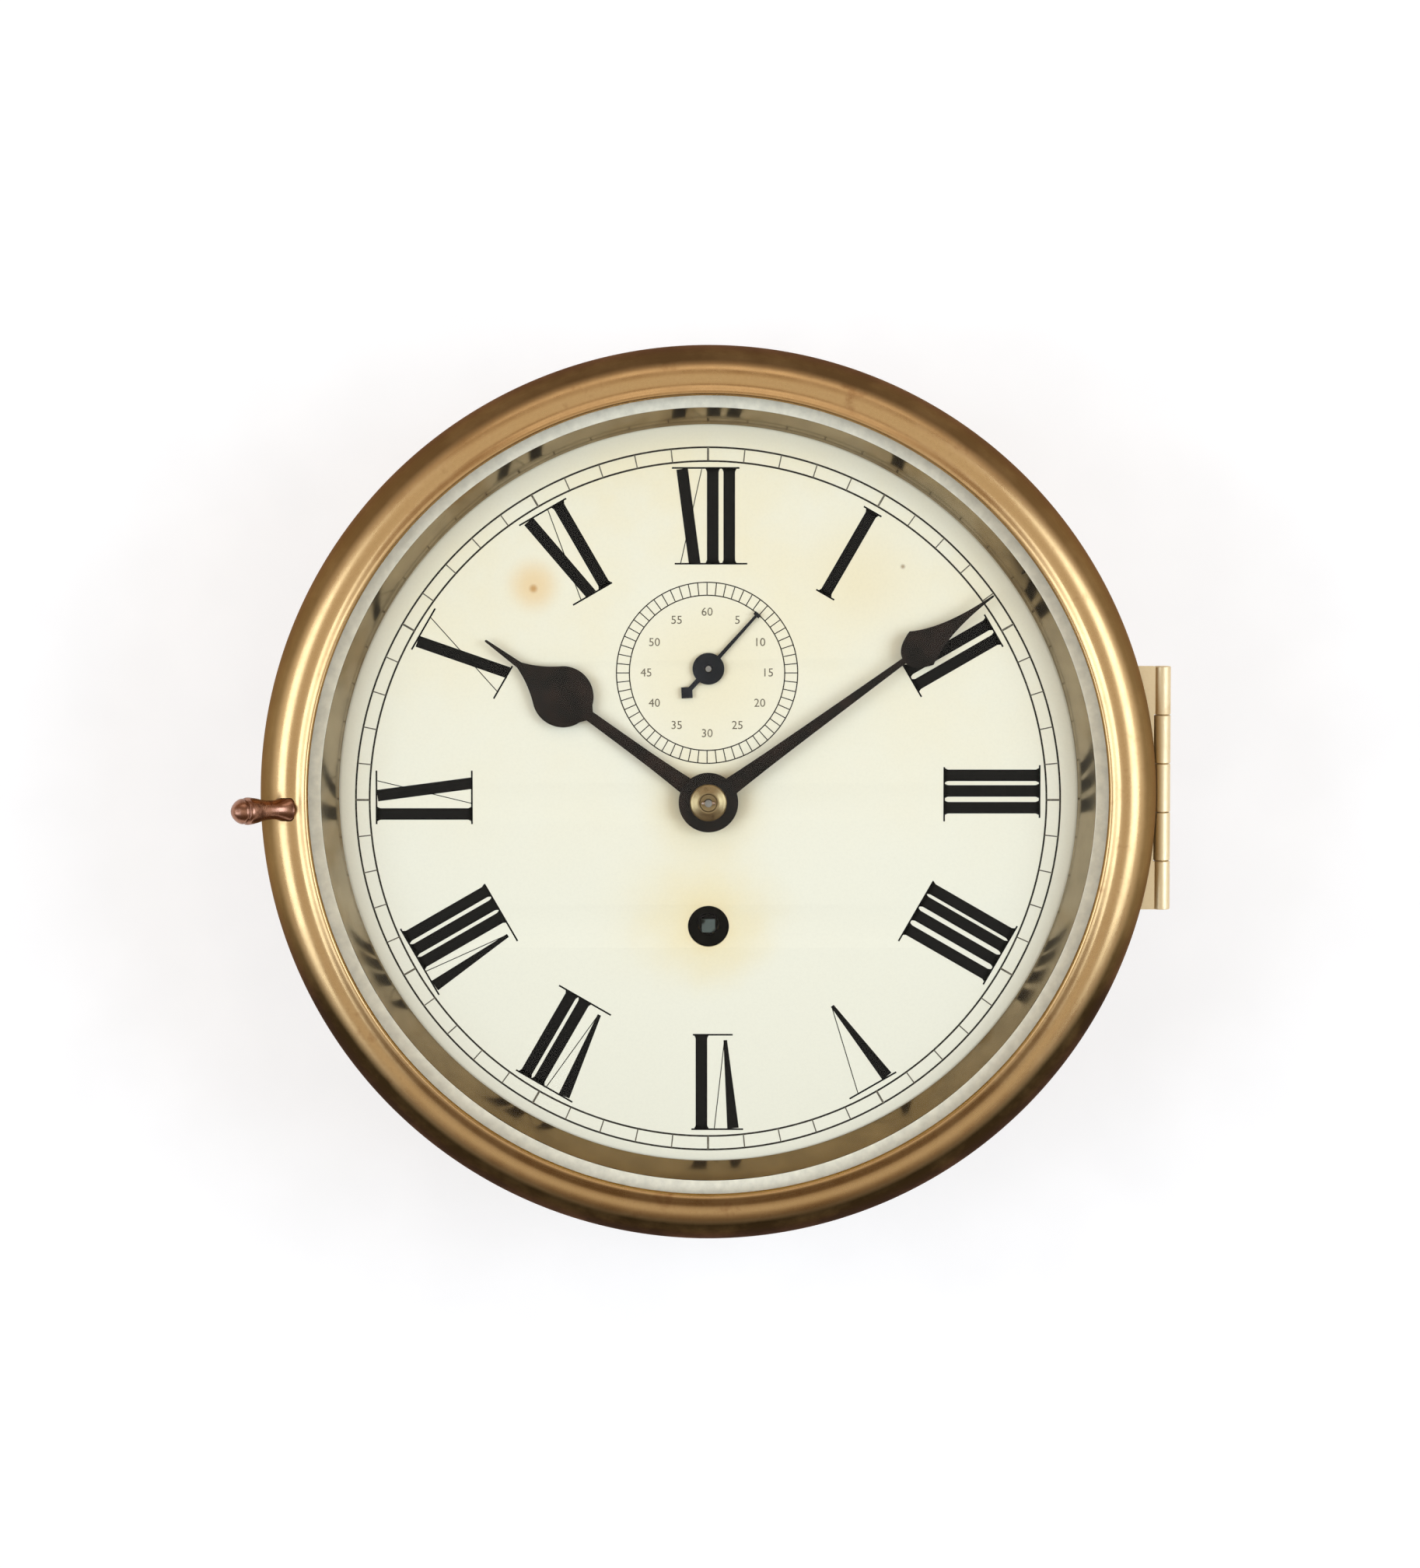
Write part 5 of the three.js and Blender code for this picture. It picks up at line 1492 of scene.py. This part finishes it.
    def build(self, maker: Maker) -> None:
        """Makes the painted disc and everything printed on it.

        Args:
            maker: What makes and dresses the pieces.
        """
        drop = MOVEMENT_DROP
        maker.piece("dial_painted", self.disc(), DIAL_PAINT, "case", ("dial",), drop)
        hours = together(
            self.numeral_strokes(numeral).clockwise(30.0 * (k + 1)).moved(*self.print_centre)
            for k, numeral in enumerate(NUMERALS)
        )
        minutes = together(
            (
                self.ticks(60, self.track, self.minute_tick, self.print_centre, skip=5),
                self.ticks(12, self.track, self.hour_tick, self.print_centre),
            )
        )
        seconds = together(
            (
                self.rings(self.seconds_ring, self.seconds_line, self.seconds_centre),
                self.ticks(60, self.seconds_ring, self.seconds_tick, self.seconds_centre),
            )
        )
        track = self.rings(self.track, self.track_line, self.print_centre)
        prints = (
            ("dial_numerals", hours, NUMERAL_INK),
            ("dial_minute_track", track, TRACK_INK),
            ("dial_minute_divisions", minutes, MINUTE_INK),
            ("dial_seconds_ring", seconds, TRACK_INK),
            ("dial_seconds_figures", self.figures(), SECONDS_INK),
        )
        for name, shell, ink in prints:
            maker.piece(name, shell, ink, "case", drop=drop)


@dataclass
class Hands:
    """The spade hands, the seconds hand, and the collet and taper pin that hold the minute hand."""

    thickness: float = 0.7
    seconds_back: float = 58.6
    seconds_front: float = 59.09
    hour_back: float = 59.6
    minute_back: float = 60.9
    minute_length: float = 89.5
    hour_length: float = 70.1
    seconds_length: float = 19.0
    seconds_tail: float = 10.2
    seconds_up: float = 34.0
    minute_angle: float = 54.0
    hour_angle: float = 306.0
    seconds_angle: float = 42.0
    boss: float = 7.6
    hour_boss: float = 6.6
    seconds_boss: float = 4.05
    minute_bore: float = 2.3
    hour_bore: float = 3.5
    seconds_bore: float = 0.9
    collet_radius: float = 4.75
    collet_bore: float = 1.05
    collet_back: float = 61.7
    collet_front: float = 63.2
    pin_rise: float = 0.8
    ease: float = 0.1

    @staticmethod
    def mirrored(edge: np.ndarray) -> np.ndarray:
        """A hand's outline from its right edge, mirrored about its length."""
        left = edge[edge[:, 0] > 1e-6][::-1] * np.array((-1.0, 1.0))
        return np.concatenate((edge, left))

    @staticmethod
    def with_boss(edge: np.ndarray, boss: float) -> np.ndarray:
        """Runs a hand's right edge into its round boss.

        The boss is left at the angle where its rim meets the edge's first point; it is walked from
        the bottom of the circle to there.

        Args:
            edge: The right edge, from the boss outward.
            boss: The boss's radius.

        Returns:
            The right edge from the bottom of the boss to the tip.
        """
        leave = math.atan2(math.sqrt(boss**2 - edge[0, 0] ** 2), edge[0, 0])
        angle = np.linspace(-math.pi / 2, leave, 40)
        rim = np.column_stack((boss * np.cos(angle), boss * np.sin(angle)))
        rim[0, 0] = 0.0
        return np.concatenate((rim, edge[edge[:, 1] > rim[-1, 1] + 0.05]))

    def minute_edge(self) -> np.ndarray:
        """A tapering shaft, then a spade whose sides run hollow to the tip.

        Returns:
            The right edge, from the boss to the tip.
        """
        neck = self.minute_length - 28.0
        widest = (5.25, neck + 5.5)
        shaft = through([(2.35, 6.0), (1.75, 20.0), (1.2, 42.0), (0.78, neck - 0.6)], 6)
        shoulder = bent((0.78, neck), (3.7, neck + 0.6), widest)
        sides = bent(widest, (0.7, neck + 13.0), (0.25, self.minute_length))[1:]
        return np.concatenate((shaft, shoulder, sides, [(0.0, self.minute_length + 0.3)]))

    def hour_edge(self) -> np.ndarray:
        """A tapering shaft and a pear-shaped lobe whose sides run a little hollow to the point.

        Returns:
            The right edge, from the boss to the tip.
        """
        middle, radius = self.hour_length - 24.3, 7.8
        bearing = np.radians(np.linspace(-75, 38, 44))
        lobe = np.column_stack((radius * np.cos(bearing), middle + radius * np.sin(bearing)))
        shaft = through([(2.3, 6.0), (1.7, 18.0), (1.35, middle - radius - 0.6)], 6)
        neck = bent(tuple(lobe[-1]), (2.6, middle + 8.9), (0.85, middle + 13.8))[1:]
        tip = [(0.3, self.hour_length), (0.0, self.hour_length + 0.2)]
        return np.concatenate((shaft, lobe[2:], neck, tip))

    def seconds_edge(self) -> np.ndarray:
        """A square set cornerwise as the tail, a disc boss, and a thin bar with a T tip.

        Returns:
            The right edge, from the tail to the tip.
        """
        tail, length, boss = self.seconds_tail, self.seconds_length, self.seconds_boss
        square = [(0.0, -tail), (2.0, 2.0 - tail), (0.62, 3.4 - tail)]
        angle = np.linspace(-math.acos(0.62 / boss), math.acos(0.5 / boss), 40)
        disc = np.column_stack((boss * np.cos(angle), boss * np.sin(angle)))
        bar = [(0.35, length - 1.0), (0.9, length - 0.9), (0.9, length), (0.0, length)]
        return np.concatenate((square, disc, bar))

    def collet(self) -> Shell:
        """The collet: a flat back, an eased edge and a low dome with a sunk middle.

        Returns:
            The turned collet.
        """
        radius, bore, back, front = self.collet_radius, self.collet_bore, self.collet_back, self.collet_front
        edge = [(radius, back + 0.45), (radius - 0.35, back + 0.85), (radius - 1.3, front - 0.3)]
        dome = through([*edge, (2.7, front), (2.3, front - 0.05), (2.1, front - 0.35)], 5)
        return lathe(np.concatenate(([(bore, back), (radius, back)], dome, [(bore, front - 0.45)])), 96)

    def build(self, maker: Maker) -> None:
        """Makes the three hands, the collet and the pin.

        Args:
            maker: What makes and dresses the pieces.
        """
        drop, body = MOVEMENT_DROP, "centre_body"
        outline = self.mirrored(self.with_boss(self.minute_edge(), self.boss))
        bore = circle(self.minute_bore, count=48)
        minute = sawn([outline, bore], self.minute_back, self.minute_back + self.thickness, self.ease)
        minute = minute.clockwise(self.minute_angle)
        maker.piece("minute_hand_spade", minute, HAND_LACQUER, body, ("minute_hand",), drop)
        outline = self.mirrored(self.with_boss(self.hour_edge(), self.hour_boss))
        bore = circle(self.hour_bore, count=48)
        hour = sawn([outline, bore], self.hour_back, self.hour_back + self.thickness, self.ease)
        hour = hour.clockwise(self.hour_angle)
        maker.piece("hour_hand_spade", hour, HAND_LACQUER, "hour_body", ("hour_hand",), drop)
        outline = self.mirrored(self.seconds_edge())
        bore = circle(self.seconds_bore, count=32)
        seconds = sawn([outline, bore], self.seconds_back, self.seconds_front, 0.07)
        seconds = seconds.clockwise(self.seconds_angle).moved(up=self.seconds_up)
        node, rider = ("seconds_hand",), "fourth_body"
        maker.piece("seconds_hand_disc", seconds, SECONDS_LACQUER, rider, node, drop)
        node = ("hand_collet",)
        maker.piece("hand_collet_turned", self.collet(), COLLET_BRASS, body, node, drop)
        taper = np.array(((0, -1.7), (0.32, -1.7), (0.38, -1.6), (0.42, 1.62), (0.36, 1.7), (0, 1.7)))
        pin = carried(lathe(taper, 32), (0.0, 0.0, self.collet_front + self.pin_rise), (1, 0, 0))
        maker.piece("hand_pin_taper", pin, PIN_STEEL, body, ("hand_pin",), drop)


@dataclass
class Movement:
    """The movement behind the dial, dressed as it is in the frame."""

    brass: tuple[str, ...] = (
        "back_plate", "front_plate", "pillar_1", "pillar_2", "pillar_3", "pillar_4", "barrel", "barrel_cap",
        "centre_wheel", "third_wheel", "fourth_wheel", "balance_wheel", "balance_cock", "minute_wheel",
        "hour_wheel",
    )
    steel: tuple[str, ...] = (
        "centre_arbor", "third_arbor", "fourth_arbor", "escape_arbor", "escape_wheel", "pallet_lever",
        "pallet_arbor", "balance_staff", "hairspring_stud", "cannon_pinion", "minute_wheel_stud",
    )
    blued: tuple[str, ...] = (
        "mainspring", "hairspring", "click_screw", "click_spring", "click_spring_screw", "pillar_nut_1",
        "pillar_nut_2", "pillar_nut_3", "pillar_nut_4",
    )
    # the ratchet wheel and click, seen through the winding hole, darkened as painted shade
    shade_darkened: tuple[str, ...] = ("ratchet_wheel", "click")

    def build(self, maker: Maker) -> None:
        """Dresses the movement's nodes.

        Args:
            maker: What makes and dresses the pieces.
        """
        maker.dress(self.brass, PLATE_BRASS)
        maker.dress(self.steel, BARE_STEEL)
        maker.dress(self.blued, BLUED_STEEL)
        maker.dress(self.shade_darkened, SHADE_DARK_STEEL)
        maker.dress(("barrel_arbor",), WINDING_STEEL)


# Studio


@dataclass(frozen=True)
class Lamp:
    """A soft box: where it stands, how wide and tall it is, its power and its tint."""

    name: str
    place: Place
    size: Point
    watts: float
    tint: str = "#FFFFFF"


@dataclass(frozen=True)
class WallPaper(Finish):
    """Pale paper, seen as nearly white from its front and not at all from behind."""

    pale: str = "#B2B1B0"
    paler: str = "#B8B7B6"
    lift: float = 0.58

    def surface(self, graph: Graph, where: Socket) -> Socket:
        """Builds paper that the camera, mirrors and glass see, and that lights nothing itself.

        Args:
            graph: The material's nodes.
            where: Object coordinates, in metres.

        Returns:
            The shader's output.
        """
        grain = graph.add("TexNoise", pattern(where, 25.0, 3.0))[0]
        share = graph.add("ValToRGB", (grain,), ((0.3, 0.0), (0.7, 1.0)))[0]
        colour = graph.add("Mix", {0: share, 6: self.pale, 7: self.paler}, data_type="RGBA")[2]
        paper = graph.add("BsdfDiffuse", {"Color": colour})[0]
        glow = graph.add("Emission", {"Color": "#FFFFFF", "Strength": self.lift})[0]
        lit = graph.add("AddShader", (paper, glow))[0]
        path = graph.add("LightPath")
        rays = (path["Is Camera Ray"], path["Is Glossy Ray"])
        seen = graph.add("Math", rays, operation="ADD")[0]
        seen = graph.add("Math", (seen, path["Is Transmission Ray"]), operation="ADD", use_clamp=True)[0]
        behind = graph.add("NewGeometry")["Backfacing"]
        front = graph.add("Math", (1.0, behind), operation="SUBTRACT")[0]
        shown = graph.add("Math", (seen, front), operation="MULTIPLY")[0]
        clear = graph.add("BsdfTransparent")[0]
        return graph.add("MixShader", (shown, clear, lit))[0]


@dataclass
class Studio:
    """Wall, room, soft boxes and the camera, in metres in the row frame."""

    distance: float = 1.5
    elevation: float = 4.2
    target: Place = (0.0004, -0.062, 0.0028)
    sensor: float = 36.0
    clock: Place = (0.0, -0.05, 0.0)
    wall_gap: float = 0.0008
    wall_half: float = 3.0
    wall_top: float = 2.5
    floor: float = -1.2
    sweep: float = 0.25
    lamps: tuple[Lamp, ...] = (
        Lamp("left_box", (-1.03, -1.0, -0.05), (0.8, 1.0), 9.9, "#CFE5FF"),
        Lamp("right_box", (1.03, -1.0, 0.08), (0.8, 1.0), 11.5, "#CFE5FF"),
        Lamp("overhead_box", (0.0, -1.0, 1.3), (1.6, 0.6), 2.7),
    )
    room: Stops = ((0.0, "#D6CEC2"), (0.45, "#D6CFC4"), (1.0, "#F2EEE8"))  # from the camera's side back
    floor_and_ceiling: str = "#D6B086"
    strength: float = 1.4
    by_height: Stops = (
        (0.05, 0.16),
        (0.2, 0.24),
        (0.35, 0.65),
        (0.5, 1.0),
        (0.63, 0.94),
        (0.78, 0.5),
        (0.95, 0.42),
    )

    def build(self) -> None:
        """Builds the wall, the room, the lamps and the camera."""
        self._wall()
        self._room()
        for lamp in self.lamps:
            self._lamp(lamp)
        self._camera()

    def _wall(self) -> None:
        """A wall that sweeps into a floor: straight down, round a quarter circle, and forward."""
        angle = np.linspace(0, math.pi / 2, 24)
        forward = self.wall_gap - self.sweep + self.sweep * np.cos(angle)
        bend = np.column_stack((forward, self.floor + self.sweep - self.sweep * np.sin(angle)))
        line = np.concatenate(([(self.wall_gap, self.wall_top)], bend))
        sides = np.repeat((-self.wall_half, self.wall_half), len(line))
        points = np.column_stack((sides, np.tile(line, (2, 1))))
        mesh = bpy.data.meshes.new("studio_wall")
        mesh.from_pydata(points.tolist(), [], [face[::-1] for face in grid_faces(2, len(line), False, False)])
        mesh.shade_smooth()
        mesh.materials.append(WallPaper("pale_wall_paper").material())
        wall = bpy.data.objects.new("studio_wall", mesh)
        bpy.context.scene.collection.objects.link(wall)
        wall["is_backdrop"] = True

    def _room(self) -> None:
        """A pale room, darkest below and duller above, so that polished metal has something to show."""
        world = bpy.data.worlds.new("studio_room")
        bpy.context.scene.world = world
        graph = Graph.emptied(world)
        ray = graph.add("TexCoord")["Generated"]
        axes = graph.add("SeparateXYZ", (ray,))
        back = graph.add("MapRange", (axes["Y"], -1.0, 0.15), interpolation_type="SMOOTHSTEP")[0]
        sides = graph.add("ValToRGB", (back,), self.room)[0]
        steep = graph.add("Math", (axes["Z"],), operation="ABSOLUTE")[0]
        steep = graph.add("MapRange", (steep, 0.2, 0.8))[0]
        colour = graph.add("Mix", {0: steep, 6: sides, 7: self.floor_and_ceiling}, data_type="RGBA")[2]
        height = graph.add("MapRange", (axes["Z"], -1.0, 1.0))[0]
        level = graph.add("ValToRGB", (height,), self.by_height)[0]
        strength = graph.add("Math", (level, self.strength), operation="MULTIPLY")[0]
        glow = graph.add("Background", {"Color": colour, "Strength": strength})[0]
        graph.add("OutputWorld", {"Surface": glow})

    def _lamp(self, lamp: Lamp) -> None:
        """Makes a soft box that faces the clock.

        Args:
            lamp: The soft box.
        """
        data = bpy.data.lights.new(lamp.name, "AREA")
        data.shape, data.size, data.size_y = "RECTANGLE", *lamp.size
        data.energy, data.color = lamp.watts, linear(lamp.tint)[:3]
        self._place(lamp.name, data, Vector(lamp.place), Vector(self.clock) - Vector(lamp.place))

    def _camera(self) -> None:
        """A long lens a little above the clock's axis, whose frame is as tall as the photograph's."""
        data = bpy.data.cameras.new("camera")
        data.sensor_fit, data.sensor_width = "AUTO", self.sensor
        data.lens = self.sensor * self.distance / (PHOTO_HEIGHT * PHOTO_SCALE * MM)
        rise = math.radians(self.elevation)
        back = Vector((0.0, -math.cos(rise), math.sin(rise)))
        place = Vector(self.target) + back * self.distance
        bpy.context.scene.camera = self._place("camera", data, place, -back)

    @staticmethod
    def _place(name: str, data: bpy.types.ID, place: Vector, toward: Vector) -> bpy.types.Object:
        """Stands a lamp or the camera at a place, looking along a direction with its top up.

        Args:
            name: The object's name.
            data: The lamp's or the camera's data.
            place: Where it stands.
            toward: The direction that it looks along.

        Returns:
            The object, in the scene.
        """
        made = bpy.data.objects.new(name, data)
        made.location = place
        made.rotation_mode = "QUATERNION"
        made.rotation_quaternion = toward.to_track_quat("-Z", "Y")
        bpy.context.scene.collection.objects.link(made)
        return made


def corners() -> list[list[float]]:
    """The shown object's lowest and highest corners, as plain lists."""
    return [[float(value) for value in corner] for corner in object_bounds()]


def main() -> None:
    """Builds the studio and dresses the clock, sub-assembly by sub-assembly."""
    logging.basicConfig(level=logging.INFO, format="%(name)s: %(message)s")
    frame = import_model()
    bpy.context.scene.view_settings.view_transform = "Standard"
    Studio().build()
    maker = Maker(frame)
    hinge = Hinge()
    for assembly in (hinge, Case(hinge), Bezel(hinge), Dial(), Hands(), Movement()):
        assembly.build(maker)
        log.info("built %s", type(assembly).__name__)
    log.info("%d pieces made", len(maker.made))


if __name__ == "__main__":
    main()
